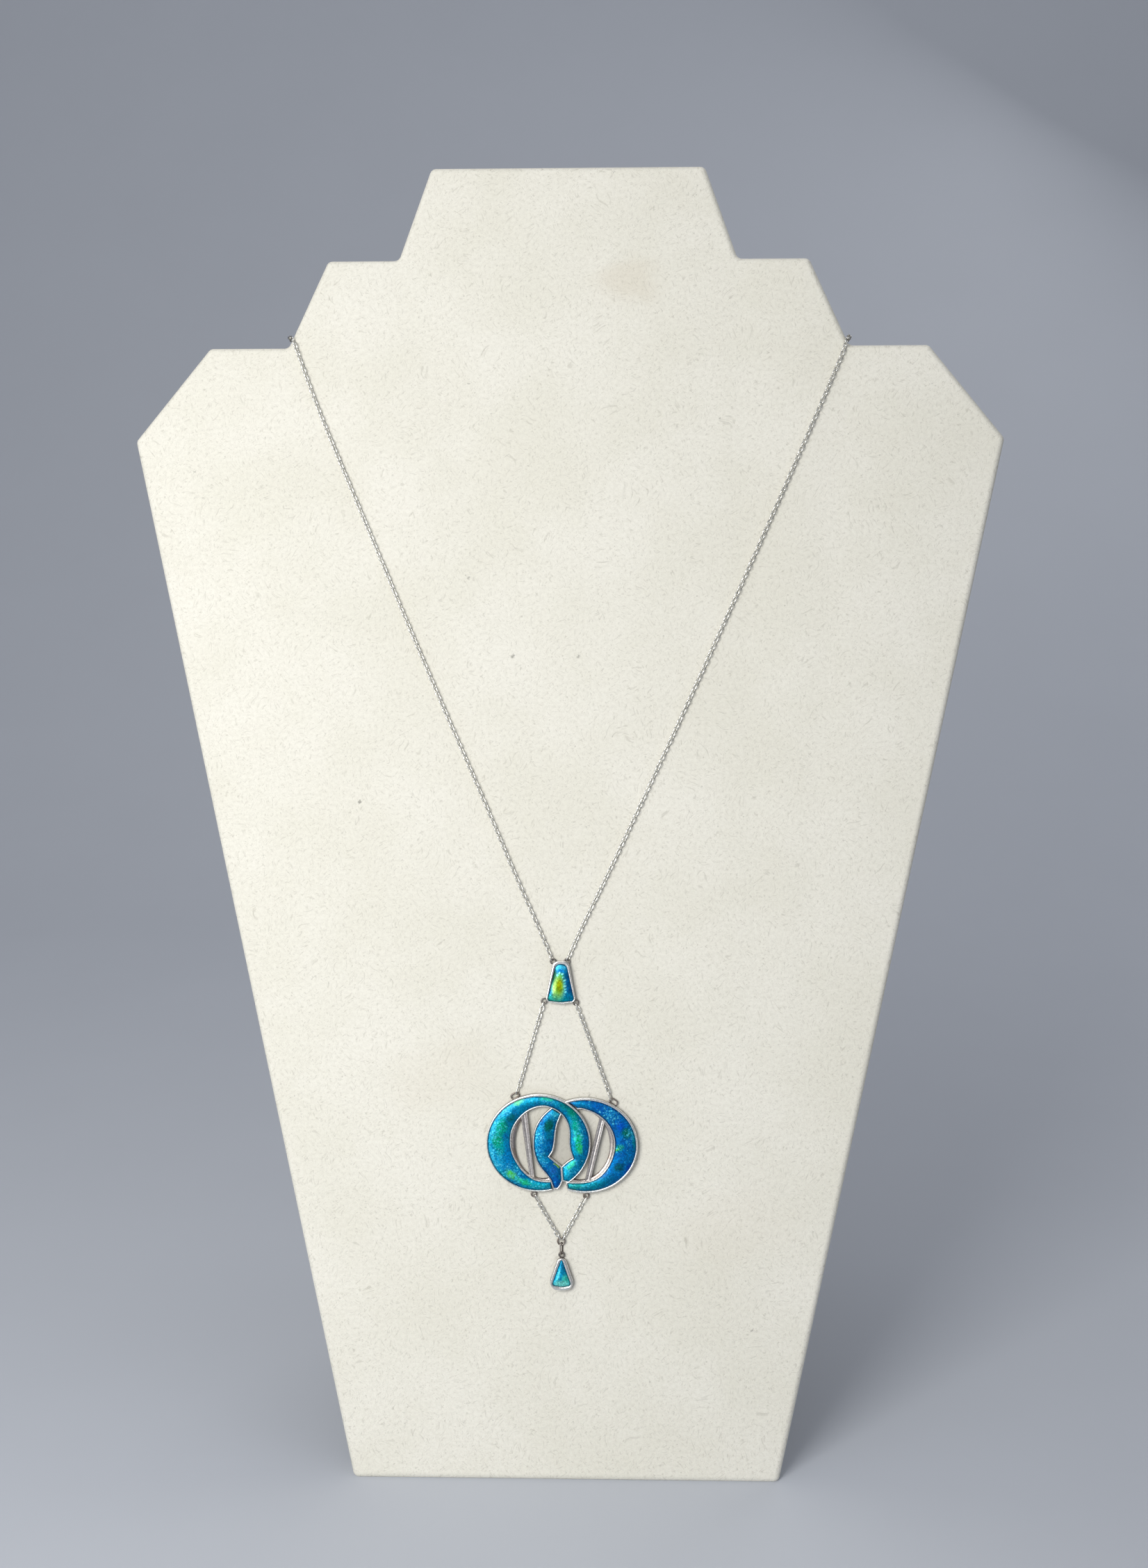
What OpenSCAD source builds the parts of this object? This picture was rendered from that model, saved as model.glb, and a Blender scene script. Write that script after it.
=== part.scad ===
// Enamel necklace on a leaning neck display board.
// Flat things are drawn on the board's face: x across, y up the board, z out of its velvet.
// Millimetres. The whole stands on the floor at z = 0 and its front faces -Y.

/* [Display board] */
// Height of the board along its face
board_h = 311.6; // [300:0.2:320]
// Thickness of the covered board
board_t = 6; // [5:0.25:7]
// Width at the foot
foot_w = 100.6; // [90:0.2:110]
// Width across the shoulder tips
shoulder_w = 206.8; // [200:0.2:212]
// Height of the shoulder tips
shoulder_h = 246.6; // [244:0.2:250]
// Width of the low ledge between the sloping shoulders
low_ledge_w = 171.2; // [160:0.2:180]
// Height of the low ledge
low_ledge_h = 268.8; // [266:0.2:270]
// Width of the neck where it stands on the low ledge
neck_low_w = 133.6; // [130:0.2:134]
// Width of the neck at its top
neck_high_w = 114.6; // [108:0.2:120]
// Height of the neck's top, the high ledge
high_ledge_h = 289.6; // [285:0.2:294]
// Width of the head where it stands on the high ledge
head_low_w = 80.8; // [76:0.2:86]
// Width of the head at its top
head_top_w = 65.2; // [60:0.2:72]
// Rounding of the outline's corners
corner_r = 1.6; // [1.6:0.1:2.5]
// Rounding where the velvet rolls over the edge
roll_r = 1.5; // [0.8:0.1:1.5]
// Backward lean of the board in degrees
lean = 15; // [10:0.5:18]

/* [Prop behind the board] */
// Width of the prop at its hinge
prop_w = 52; // [40:1:66]
// Width of the flap glued above the hinge
flap_w = 58; // [46:1:72]
// Width of the prop at its foot
prop_foot_w = 44; // [30:1:60]
// Thickness of the prop
prop_t = 3; // [2:0.5:4]
// Height of the hinge line along the board
hinge_h = 178; // [150:1:190]
// Height of the flap glued above the hinge
flap_h = 30; // [20:1:40]
// Backward slope of the prop from upright in degrees
prop_slope = 20; // [15:0.5:25]

/* [Chain links] */
// Length of a link
link_l = 1.7; // [1.6:0.05:1.8]
// Width of a link
link_w = 1.15; // [1.1:0.05:1.3]
// Wire of a link
link_wire = 0.3; // [0.26:0.02:0.3]
// Length of the long link where a chain joins the plaque
end_link_l = 2.4; // [2.2:0.1:2.6]
// Width of that long link
end_link_w = 1.25; // [1.25:0.05:1.4]
// Wire of that long link
end_link_wire = 0.28; // [0.24:0.02:0.3]
// Thickness of the neck chain as a whole
neck_chain_d = 1.1; // [1:0.05:1.15]

/* [Silver] */
// Height of the silver's back above the velvet
back_z = 0.2; // [0.1:0.05:0.3]
// Height of a tray's floor
floor_z = 0.7; // [0.6:0.05:0.8]
// Height of the plain ledges inside the rings
ledge_z = 1; // [0.9:0.05:1.2]
// Height of the slanting bars
bar_z = 1.25; // [1.1:0.05:1.5]
// Height of the rims
rim_z = 1.6; // [1.5:0.05:1.8]
// Width of the rims of the plaque
rim_w = 0.38; // [0.3:0.02:0.4]
// Height of the centre line of every loop, ring and chain
wire_z = 0.6; // [0.55:0.05:0.65]
// Wire of the soldered loops
loop_wire = 0.36; // [0.3:0.02:0.4]
// Radius of the soldered loops to the middle of the wire
loop_r = 0.6; // [0.56:0.02:0.7]

/* [Enamel] */
// Height of the enamel where it meets a rim
enamel_z = 1.35; // [1.25:0.05:1.45]
// Rise of the enamel's crown on the plaque
crown = 0.2; // [0.1:0.05:0.3]
// Rise of the enamel's crown on the connector and the drop
dome = 0.4; // [0.2:0.05:0.5]
// Gap between the enamel and its tray
cell_gap = 0.03; // [0.02:0.01:0.05]

/* [Connector] */
// Height of the connector
connector_h = 10.1; // [9:0.1:11]
// Width of its arched top
connector_top_w = 3.7; // [3.4:0.1:4]
// Width of its foot
connector_foot_w = 7; // [6.4:0.1:7.6]

/* [Drop] */
// Height of the drop's tray
drop_h = 7.9; // [7.4:0.1:8.4]
// Width of the drop
drop_w = 5.6; // [5.2:0.1:6]

/* [Hidden] */
$fn = 48;

// Colours
velvet = [0.94, 0.93, 0.88];
board_back = [0.80, 0.78, 0.72];
silver = [0.80, 0.80, 0.82];
blue = [0.05, 0.45, 0.72];
royal = [0.02, 0.36, 0.70];
teal = [0.05, 0.55, 0.60];

// Places on the board's face: middle of the connector, the plaque, the centre ring and the drop
connector_at = [-1.3, 117.7];
plaque_at = [-1, 79.8];
centre_ring_at = [-1.1, 56.6];
drop_at = [-1, 48.9];

// Centre ring, bail and clasp
centre_ring_r = 0.84;
centre_ring_wire = 0.34;
bail_l = 3;
bail_w = 1.3;
bail_wire = 0.3;
clasp_r = 2.5;
clasp_wire = 1;

// Clearances
node_gap = 0.1;
link_gap = 0.1;

// Loops of the connector, from its middle: top left, top right, bottom left, bottom right
CONNECTOR_LOOPS = [[-1.85, 5.0], [1.45, 5.0], [-3.95, -4.4], [3.55, -4.7]];

// Long loops of the plaque's top, from its middle: x, y, turn along the rim
TOP_LOOPS = [[-11.1, 11.1, 28], [12.2, 9.8, -34]];
top_loop_l = 2.3;
top_loop_w = 1.5;

// Round loops of the plaque's bottom, from its middle
BOTTOM_LOOPS = [[-6.6, -12.1], [5.8, -12.4]];

// Ellipses of the plaque: middle x, middle y, half width, half height
LEFT_OUTSIDE = [-5.5, 0.12, 12.34, 11.55];
LEFT_ENAMEL = [-5.51, -0.03, 11.97, 10.98];
RIGHT_OUTSIDE = [5.51, -0.43, 12.49, 11.27];
RIGHT_ENAMEL = [5.51, -0.5, 12.01, 10.64];
LEFT_OPENING = [-4.5, 0.06, 6.65, 8.43];
RIGHT_OPENING = [4.25, -0.36, 7.12, 8.28];
// Ends of the ledges along the bottom, under the tail and under the left ring
left_ledge_end = -2.5;
right_ledge_end = 2.25;
// Along the bottom the outside rims stop at the tail, the left ring's foot and the right ring's end
tail_side = -1.95;
foot_side = 1.5;
right_side = 1.15;

// Left ring, clockwise from its bottom end.
// Columns: angle on the enamel's outer ellipse, inner edge x, inner edge y
LEFT_BAND = [
    [-75, -2.6, -9.2],
    [-92, -4.7, -9.13],
    [-112, -6.95, -8.5],
    [-135, -9.2, -6.75],
    [-154, -10.85, -4.45],
    [-168, -11.85, -2.3],
    [-182, -12.3, 0.2],
    [-200, -11.95, 3.05],
    [-220, -10.75, 5.35],
    [-240, -8.85, 7.35],
    [-258, -6.5, 8.6],
    [-275, -4.1, 8.95],
    [-292, -1.95, 8.4],
    [-308, -0.3, 7.42],
    [-322, 0.95, 6.05],
    [-336, 1.8, 4.25],
    [-350, 2.08, 2.25],
    [-363, 2.05, 0.2],
    [-375, 2.3, -1.55],
    [-384, 3, -3.65]
];
// The flare above its foot, and the foot itself
LEFT_FLARE = [
    [-384, 3, -3.65],
    [-394, 1.75, -4.4],
    [-404, 0.3, -5.6]
];
LEFT_FOOT = [
    [-404, 0.3, -5.6],
    [-409, 0.36, -7.2],
    [-413.5, 0.5, -8.6]
];

// Right ring, clockwise from its top end. Columns as for the left ring
RIGHT_BAND = [
    [108, 3.6, 8.4],
    [100, 4.75, 8.42],
    [88, 6.45, 7.95],
    [74, 8.2, 7.18],
    [60, 9.8, 6.07],
    [45, 11.18, 4.52],
    [30, 12.12, 2.83],
    [15, 12.66, 1.03],
    [0, 12.7, -0.95],
    [-15, 12.25, -3.03],
    [-30, 11.4, -5.1],
    [-45, 10.2, -6.85],
    [-60, 8.75, -8.17],
    [-75, 7, -9],
    [-90, 5.05, -9.38],
    [-101, 3.1, -9.45],
    [-109, 1.45, -9.4]
];

// Centre limb, from under the left ring down to the tail.
// Columns: left edge x, left edge y, right edge x, right edge y
LIMB = [
    [-2.3, 8.08, -0.42, 6.95],
    [-3.85, 6.7, -0.92, 5.75],
    [-5, 5.3, -1.38, 4.5],
    [-5.82, 3.77, -1.68, 2.95],
    [-6.32, 2.1, -1.86, 1.35],
    [-6.47, 0.35, -2.03, -0.2],
    [-6.42, -1.3, -2.4, -1.7],
    [-6.1, -2.8, -3.35, -3.15]
];
LIMB_FLARE = [
    [-6.1, -2.8, -3.35, -3.15],
    [-5.44, -4.5, -1.8, -4.42],
    [-4.4, -6.05, -0.3, -5.62]
];
TAIL = [
    [-4.4, -6.05, -0.3, -5.62],
    [-3.25, -7.35, -0.2, -7.3],
    [-2.4, -8.6, -0.12, -8.7],
    [-2, -9.7, -0.55, -9.75],
    [-1.7, -10.45, -1.1, -10.45]
];

// Slanting bars of the plaque, from top left round to bottom left
LEFT_BAR = [[-9.65, 6.18], [-8.19, 7.3], [-6.4, -8.35], [-7.62, -7.65]];
RIGHT_BAR = [[9, 6.4], [10.25, 5.35], [6.93, -8.5], [5.45, -8.85]];

// Route of the left half of the neck chain, from the connector over the neck's edge to the clasp
LEFT_ROUTE = [
    [-3.5, 124.2, 0.6],
    [-6.35, 130.1, 0.6],
    [-12, 142.8, 0.6],
    [-20.5, 162.7, 0.6],
    [-29.2, 182.5, 0.6],
    [-37.7, 202.3, 0.6],
    [-46.1, 222.2, 0.6],
    [-54.5, 242.1, 0.6],
    [-60, 255.6, 0.6],
    [-64.1, 266.8, 0.6],
    [-65.3, 270, 0.55],
    [-66.1, 271.1, -0.1],
    [-66.6, 271.4, -1.6],
    [-66.6, 271.4, -4.4],
    [-66.1, 271.4, -5.9],
    [-64.6, 271.4, -6.7],
    [-58, 271.3, -6.7],
    [-40, 271, -6.7],
    [-20, 270.8, -6.7],
    [-3.2, 270.7, -6.7]
];
// Route of the right half
RIGHT_ROUTE = [
    [0.5, 124.2, 0.6],
    [3.35, 130.1, 0.6],
    [9.5, 142.8, 0.6],
    [18.9, 162.8, 0.6],
    [28, 182.5, 0.6],
    [36.9, 202.2, 0.6],
    [45.7, 221.9, 0.6],
    [54.4, 241.7, 0.6],
    [60.2, 255.1, 0.6],
    [64.8, 265.9, 0.6],
    [65.9, 269.1, 0.55],
    [66.5, 270.6, -0.1],
    [66.9, 270.9, -1.6],
    [66.9, 270.9, -4.4],
    [66.4, 270.9, -5.9],
    [64.9, 270.9, -6.7],
    [58, 270.9, -6.7],
    [40, 270.8, -6.7],
    [20, 270.7, -6.7],
    [3.2, 270.7, -6.7]
];

// Right half of the board's outline, upwards. Columns: half width, height
BOARD_HALF = [
    [foot_w / 2, 0],
    [shoulder_w / 2, shoulder_h],
    [low_ledge_w / 2, low_ledge_h],
    [neck_low_w / 2, low_ledge_h],
    [neck_high_w / 2, high_ledge_h],
    [head_low_w / 2, high_ledge_h],
    [head_top_w / 2, board_h]
];

// The connector's outline and its enamel's. Columns: x, y, rounding
CONNECTOR_OUTLINE = [
    [-connector_foot_w / 2 - 0.15, -connector_h / 2 + 0.55, 1],
    [0, -connector_h / 2 - 0.1, 6],
    [connector_foot_w / 2 + 0.15, -connector_h / 2 + 0.55, 1],
    [connector_top_w / 2, connector_h / 2, 1.2],
    [-connector_top_w / 2, connector_h / 2, 1.2]
];
CONNECTOR_CELL = [
    [-connector_foot_w / 2 + 0.35, -connector_h / 2 + 0.8, 0.6],
    [0.05, -connector_h / 2 + 0.45, 6],
    [connector_foot_w / 2 - 0.3, -connector_h / 2 + 0.8, 0.6],
    [connector_top_w / 2 - 0.6, connector_h / 2 - 0.7, 1.2],
    [-connector_top_w / 2 + 0.75, connector_h / 2 - 0.7, 1.2]
];

// The drop's outline and its enamel's. Columns: x, y, rounding
DROP_OUTLINE = [
    [-drop_w / 2 - 0.7, -drop_h / 2 + 0.35, 2],
    [0, -drop_h / 2 + 0.15, 9],
    [drop_w / 2 + 0.7, -drop_h / 2 + 0.35, 2],
    [0, drop_h / 2 + 2.4, 1.25]
];
DROP_CELL = [
    [-2.25, -drop_h / 2 + 1.45, 0.5],
    [0, -drop_h / 2 + 0.95, 5],
    [2.25, -drop_h / 2 + 1.45, 0.5],
    [0, drop_h / 2 - 0.2, 0.22]
];

// Depth of the whole on the floor, which sets the origin in its middle
front_y = roll_r * (sin(lean) + cos(lean)) - roll_r;
hinge_y = hinge_h * sin(lean) + (board_t + node_gap) * cos(lean);
hinge_z = hinge_h * cos(lean) - (board_t + node_gap) * sin(lean);
back_y = hinge_y + hinge_z * tan(prop_slope) + prop_t / cos(prop_slope);
origin_y = (front_y + back_y) / 2;

// A closed outline's corners rounded by arcs and drawn in by d: rows of x, y, rounding
function unit(v) = v / norm(v);
function cross2(a, b) = a[0] * b[1] - a[1] * b[0];
function half_turn(a) = a > 180 ? a - 360 : a < -180 ? a + 360 : a;
function corner(rows, i, d, n) =
    let (
        m = len(rows),
        p = [rows[i][0], rows[i][1]],
        before = rows[(i + m - 1) % m],
        after = rows[(i + 1) % m],
        a = unit([before[0], before[1]] - p),
        b = unit([after[0], after[1]] - p),
        half = acos(a * b) / 2,
        r = rows[i][2],
        reach = r / tan(half),
        middle = p + unit(a + b) * r / sin(half),
        from_a = p + a * reach - middle,
        from_b = p + b * reach - middle,
        start = atan2(from_a[1], from_a[0]),
        turn = half_turn(atan2(from_b[1], from_b[0]) - start),
        radius = cross2(a, b) < 0 ? r - d : r + d
    )
    [for (j = [0:n]) middle + radius * [cos(start + turn * j / n), sin(start + turn * j / n)]];
function rounded(rows, d = 0, n = 6) = [for (i = [0:len(rows) - 1]) each corner(rows, i, d, n)];

// A smooth run through the rows of a table, k steps to a row, without the last row
function near_row(rows, i) = rows[max(0, min(len(rows) - 1, i))];
function between(p, q, r, s, t) =
    0.5 * (2 * q + (r - p) * t + (2 * p - 5 * q + 4 * r - s) * t ^ 2 + (3 * q - p - 3 * r + s) * t ^ 3);
function run(rows, k) = [
    for (i = [0:len(rows) - 2])
    for (j = [0:k - 1])
    between(near_row(rows, i - 1), rows[i], rows[i + 1], near_row(rows, i + 2), j / k)
];
function last(rows) = rows[len(rows) - 1];
function on_ellipse(e, a) = [e[0] + e[2] * cos(a), e[1] + e[3] * sin(a)];
function ellipse(e, n = 96) = [for (i = [0:n - 1]) on_ellipse(e, 360 * i / n)];

// Stations of the three enamel bands: pairs of outer and inner points
LEFT_ROWS = concat(run(LEFT_BAND, 3), run(LEFT_FLARE, 3), run(LEFT_FOOT, 3), [last(LEFT_FOOT)]);
LEFT_STATIONS = [for (r = LEFT_ROWS) [on_ellipse(LEFT_ENAMEL, r[0]), [r[1], r[2]]]];
RIGHT_ROWS = concat(run(RIGHT_BAND, 3), [last(RIGHT_BAND)]);
RIGHT_STATIONS = [for (r = RIGHT_ROWS) [on_ellipse(RIGHT_ENAMEL, r[0]), [r[1], r[2]]]];
LIMB_ROWS = concat(run(LIMB, 3), run(LIMB_FLARE, 3), run(TAIL, 3), [last(TAIL)]);
LIMB_STATIONS = [for (r = LIMB_ROWS) [[r[2], r[3]], [r[0], r[1]]]];

function band_outline(stations) = concat(
    [for (s = stations) s[0]],
    [for (i = [len(stations) - 1:-1:0]) stations[i][1]]
);

// Closed skin over rings of equally many points
module skin(rings) {
    m = len(rings[0]);
    n = len(rings);
    sides = [
        for (i = [0:n - 2])
        for (j = [0:m - 1])
        let (k = (j + 1) % m)
        [i * m + j, (i + 1) * m + j, (i + 1) * m + k, i * m + k]
    ];
    first_cap = [for (j = [0:m - 1]) j];
    last_cap = [for (j = [m - 1:-1:0]) (n - 1) * m + j];
    polyhedron(
        points = [for (ring = rings) each ring],
        faces = concat(sides, [first_cap, last_cap]),
        convexity = 8
    );
}

// Everything on the leaning board is drawn flat and stood up here
module on_board() {
    translate([0, -origin_y, 0])
        rotate([90 - lean, 0, 0])
        children();
}

module at(place, z = 0) {
    translate([place[0], place[1], z])
        children();
}

module above_floor() {
    intersection() {
        children();
        translate([-200, -200, 0])
            cube([400, 400, 400]);
    }
}

module flat(z, top) {
    translate([0, 0, z])
        linear_extrude(height = top - z)
        children();
}

// Velvet-covered board with its edges rolled and its foot cut flat to the floor
function roll_inset(a) = roll_r * (1 - cos(a));
function roll_depth(a) = roll_r * (1 - sin(a));
module display_board() {
    left = [for (i = [len(BOARD_HALF) - 1:-1:0]) [-BOARD_HALF[i][0], BOARD_HALF[i][1]]];
    outline = [for (p = concat(BOARD_HALF, left)) [p[0], p[1], corner_r]];
    steps = [0, 22.5, 45, 67.5, 90];
    back = [for (a = [90, 67.5, 45, 22.5, 0]) [roll_inset(a), -board_t + roll_depth(a)]];
    front = [for (a = steps) [roll_inset(a), -roll_depth(a)]];
    rings = [
        for (s = concat(back, front))
        [for (p = rounded(outline, s[0], 4)) [p[0], p[1], s[1]]]
    ];
    color(velvet)
        above_floor()
        on_board()
        skin(rings);
}

// Flap glued to the board's back, with the prop standing out from its lower edge to the floor
module easel_strut() {
    slope = 90 + prop_slope;
    prop_l = hinge_z / cos(prop_slope) + 2 * prop_t;
    color(board_back)
        above_floor() {
            on_board()
                translate([-flap_w / 2, hinge_h - 1, -board_t - node_gap - prop_t])
                cube([flap_w, flap_h, prop_t]);
            translate([0, hinge_y - origin_y, hinge_z])
                rotate([slope, 0, 0])
                translate([0, 0, -prop_t])
                linear_extrude(height = prop_t)
                polygon([
                    [-prop_w / 2, 0],
                    [prop_w / 2, 0],
                    [prop_foot_w / 2, -prop_l],
                    [-prop_foot_w / 2, -prop_l]
                ]);
        }
}

// Tube along a route, square to it at each ring
module tube(route, d, sides = 8) {
    path = concat(run(route, 2), [last(route)]);
    n = len(path);
    rings = [
        for (i = [0:n - 1])
        let (
            t = unit(path[min(n - 1, i + 1)] - path[max(0, i - 1)]),
            b = unit(cross(t, [0, 1, 0])),
            a = cross(b, t)
        )
        [for (j = [0:sides - 1]) path[i] + d / 2 * (cos(360 * j / sides) * a + sin(360 * j / sides) * b)]
    ];
    skin(rings);
}

module neck_chain_left() {
    color(silver)
        on_board()
        tube(LEFT_ROUTE, neck_chain_d);
}

module neck_chain_right() {
    color(silver)
        on_board()
        tube(RIGHT_ROUTE, neck_chain_d);
}

module wire_ring(r, wire) {
    rotate_extrude()
        translate([r, 0])
        circle(d = wire, $fn = 16);
}

// Oval link in its own plane, its length along x
module oval(length, width, wire) {
    r = (width - wire) / 2;
    straight = length - width;
    for (end = [-1, 1])
        translate([end * straight / 2, 0, 0])
            rotate([0, 0, -90 * end])
            rotate_extrude(angle = 180, $fn = 32)
            translate([r, 0])
            circle(d = wire, $fn = 16);
    for (side = [-1, 1])
        translate([-straight / 2, side * r, 0])
            rotate([0, 90, 0])
            cylinder(d = wire, h = straight, $fn = 16);
}

// Place a link by its middle on the board's face, the way it points and its roll about its length
module link_at(middle, way, roll) {
    at(middle, wire_z)
        rotate([0, 0, way])
        rotate([roll, 0, 0])
        children();
}

// Chain from the long link held by the wire at p to the wire at q, links rolled a quarter turn in turn
long_roll = 60;
ring_roll = 75;
mid_roll = 45;
function lie(i, n) = mid_roll
    + (long_roll - mid_roll) * max(0, 1 - i / 2)
    + (ring_roll - mid_roll) * max(0, 1 - (n - i) / 4)
    + 3 * sin(137 * i);
module chain(p, p_wire, q, q_wire) {
    way = unit(q - p);
    turn = atan2(way[1], way[0]);
    pitch_max = link_l - 2 * link_wire - link_gap;
    pitch_min = (link_l + link_gap) / 2;
    long_reach = end_link_l - 1.5 * end_link_wire - p_wire / 2 - link_gap;
    near = link_l / 2 - link_wire - end_link_wire / 2 - link_gap;
    far = link_l / 2 - link_wire - q_wire / 2 - link_gap;
    room = norm(q - p) - long_reach - near - far;
    more = 2 * ceil((room / pitch_max + 1) / 2);
    fits = room / (more - 1) >= pitch_min;
    n = fits ? more : more - 2;
    pitch = fits ? room / (n - 1) : pitch_max;
    stretch = room - pitch * (n - 1);
    held = p + way * (long_reach + stretch);
    link_at(held - way * (end_link_l + stretch - end_link_wire) / 2, turn, long_roll)
        oval(end_link_l + stretch, end_link_w, end_link_wire);
    for (i = [1:n])
        link_at(held + way * (near + (i - 1) * pitch), turn, lie(i, n) + 90 * i)
            oval(link_l, link_w, link_wire);
}

function connector_loop(i) = connector_at + CONNECTOR_LOOPS[i];
function top_loop(i) = plaque_at + [TOP_LOOPS[i][0], TOP_LOOPS[i][1]];
function bottom_loop(i) = plaque_at + BOTTOM_LOOPS[i];

// The wire of a loop's round end on the side that looks towards another place
function loop_wire_towards(middle, place, r) = middle + r * unit(place - middle);

// The middle of a long top loop's round end on its inner side
function top_loop_end(i) =
    let (side = i == 0 ? 1 : -1)
    top_loop(i) + side * (top_loop_l - top_loop_w) / 2 * [cos(TOP_LOOPS[i][2]), sin(TOP_LOOPS[i][2])];

module side_chain(i) {
    held = connector_loop(i + 2);
    end = top_loop_end(i);
    color(silver)
        on_board()
        chain(
            loop_wire_towards(end, held, (top_loop_w - loop_wire) / 2),
            loop_wire,
            loop_wire_towards(held, end, loop_r),
            loop_wire
        );
}
module side_chain_left() {
    side_chain(0);
}
module side_chain_right() {
    side_chain(1);
}

module lower_chain(i) {
    color(silver)
        on_board()
        chain(
            loop_wire_towards(bottom_loop(i), centre_ring_at, loop_r),
            loop_wire,
            loop_wire_towards(centre_ring_at, bottom_loop(i), centre_ring_r),
            centre_ring_wire
        );
}
module lower_chain_left() {
    lower_chain(0);
}
module lower_chain_right() {
    lower_chain(1);
}

module centre_ring() {
    color(silver)
        on_board()
        at(centre_ring_at, wire_z)
        wire_ring(centre_ring_r, centre_ring_wire);
}

// Oval link standing on edge between the centre ring and the drop's loop
drop_loop_at = drop_at + [0, drop_h / 2 + 0.6];
module drop_bail() {
    middle = (centre_ring_at + [0, -centre_ring_r] + drop_loop_at + [0, loop_r]) / 2;
    color(silver)
        on_board()
        link_at(middle, 90, long_roll)
        oval(bail_l, bail_w, bail_wire);
}

module clasp() {
    color(silver)
        on_board()
        translate([0, 270.7, -board_t - node_gap - clasp_wire / 2])
        wire_ring(clasp_r, clasp_wire);
}

// Silver tray: the outline with the cell sunk in it
module tray(outline, cell) {
    difference() {
        flat(back_z, rim_z)
            polygon(outline);
        flat(floor_z, rim_z + 1)
            offset(delta = cell_gap)
            polygon(cell);
    }
}

// Enamel with a domed top, shrinking towards its middle
module domed(cell, rise) {
    middle = [0, -0.3];
    shells = [for (a = [0:15:75]) [cos(a), enamel_z + rise * sin(a)]];
    bottom = [for (p = cell) [p[0], p[1], floor_z + cell_gap]];
    rings = [
        for (s = shells)
        [for (p = cell) [middle[0] + s[0] * (p[0] - middle[0]), middle[1] + s[0] * (p[1] - middle[1]), s[1]]]
    ];
    skin(concat([bottom], rings));
}

connector_cell = rounded(CONNECTOR_CELL);
module connector_frame() {
    color(silver)
        on_board()
        at(connector_at) {
            tray(rounded(CONNECTOR_OUTLINE), connector_cell);
            for (place = CONNECTOR_LOOPS)
                at(place, wire_z)
                    wire_ring(loop_r, loop_wire);
        }
}
module connector_enamel() {
    color(teal)
        on_board()
        at(connector_at)
        domed(connector_cell, dome);
}

drop_cell = rounded(DROP_CELL);
module drop_frame() {
    color(silver)
        on_board()
        at(drop_at) {
            tray(rounded(DROP_OUTLINE), drop_cell);
            at([0, drop_h / 2 + 0.6], wire_z)
                wire_ring(loop_r, loop_wire);
        }
}
module drop_enamel() {
    color(blue)
        on_board()
        at(drop_at)
        domed(drop_cell, dome);
}

// Band of enamel between its outer and inner edge, crowned across and lower at its ends
module enamel_band(stations, across = 6) {
    n = len(stations);
    rings = [
        for (i = [0:n - 1])
        let (
            rise = crown * min(1, 0.2 + i / 2, 0.2 + (n - 1 - i) / 2),
            outer = stations[i][0],
            inner = stations[i][1],
            top = [
                for (k = [0:across])
                let (s = k / across, p = outer * (1 - s) + inner * s)
                [p[0], p[1], enamel_z + rise * (1 - (2 * s - 1) ^ 2)]
            ]
        )
        concat(top, [
            [inner[0], inner[1], floor_z + cell_gap],
            [outer[0], outer[1], floor_z + cell_gap]
        ])
    ];
    skin(rings);
}

module enamel_left_ring() {
    color(blue)
        on_board()
        at(plaque_at)
        enamel_band(LEFT_STATIONS);
}
module enamel_right_ring() {
    color(royal)
        on_board()
        at(plaque_at)
        enamel_band(RIGHT_STATIONS);
}
module enamel_centre_limb() {
    color(blue)
        on_board()
        at(plaque_at)
        enamel_band(LIMB_STATIONS);
}

// The outside rims of the two rings, thickest at the top
module ring_rim(outside, enamel) {
    difference() {
        polygon(ellipse(outside));
        polygon(ellipse(enamel));
    }
}
module slab(left, right, bottom = -20, top = 20) {
    translate([left, bottom])
        square([right - left, top - bottom]);
}
module cells(grow) {
    for (stations = [LEFT_STATIONS, RIGHT_STATIONS, LIMB_STATIONS])
        offset(delta = grow)
            polygon(band_outline(stations));
}
module silver_bands() {
    cells(rim_w);
    difference() {
        ring_rim(LEFT_OUTSIDE, LEFT_ENAMEL);
        slab(tail_side, foot_side, -20, 0);
    }
    difference() {
        ring_rim(RIGHT_OUTSIDE, RIGHT_ENAMEL);
        polygon(ellipse(LEFT_ENAMEL));
        slab(-20, 0);
        slab(-20, right_side, -20, 0);
    }
}

// Plain crescents inside the rings
module ledges() {
    difference() {
        intersection() {
            polygon(ellipse(LEFT_ENAMEL));
            union() {
                slab(-20, LEFT_OPENING[0]);
                slab(-20, left_ledge_end, -20, 0);
            }
        }
        polygon(ellipse(LEFT_OPENING));
    }
    difference() {
        intersection() {
            polygon(ellipse(RIGHT_ENAMEL));
            union() {
                slab(RIGHT_OPENING[0], 20);
                slab(right_ledge_end, 20, -20, 0);
            }
        }
        polygon(ellipse(RIGHT_OPENING));
    }
}

module plaque_frame() {
    color(silver)
        on_board()
        at(plaque_at) {
            difference() {
                union() {
                    flat(back_z, rim_z)
                        silver_bands();
                    flat(back_z, ledge_z)
                        ledges();
                    flat(back_z, bar_z) {
                        polygon(LEFT_BAR);
                        polygon(RIGHT_BAR);
                    }
                }
                flat(floor_z, rim_z + 1)
                    cells(cell_gap);
            }
            for (loop = TOP_LOOPS)
                at(loop, wire_z)
                    rotate([0, 0, loop[2]])
                    oval(top_loop_l, top_loop_w, loop_wire);
            for (place = BOTTOM_LOOPS)
                at(place, wire_z)
                    wire_ring(loop_r, loop_wire);
        }
}

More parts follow.
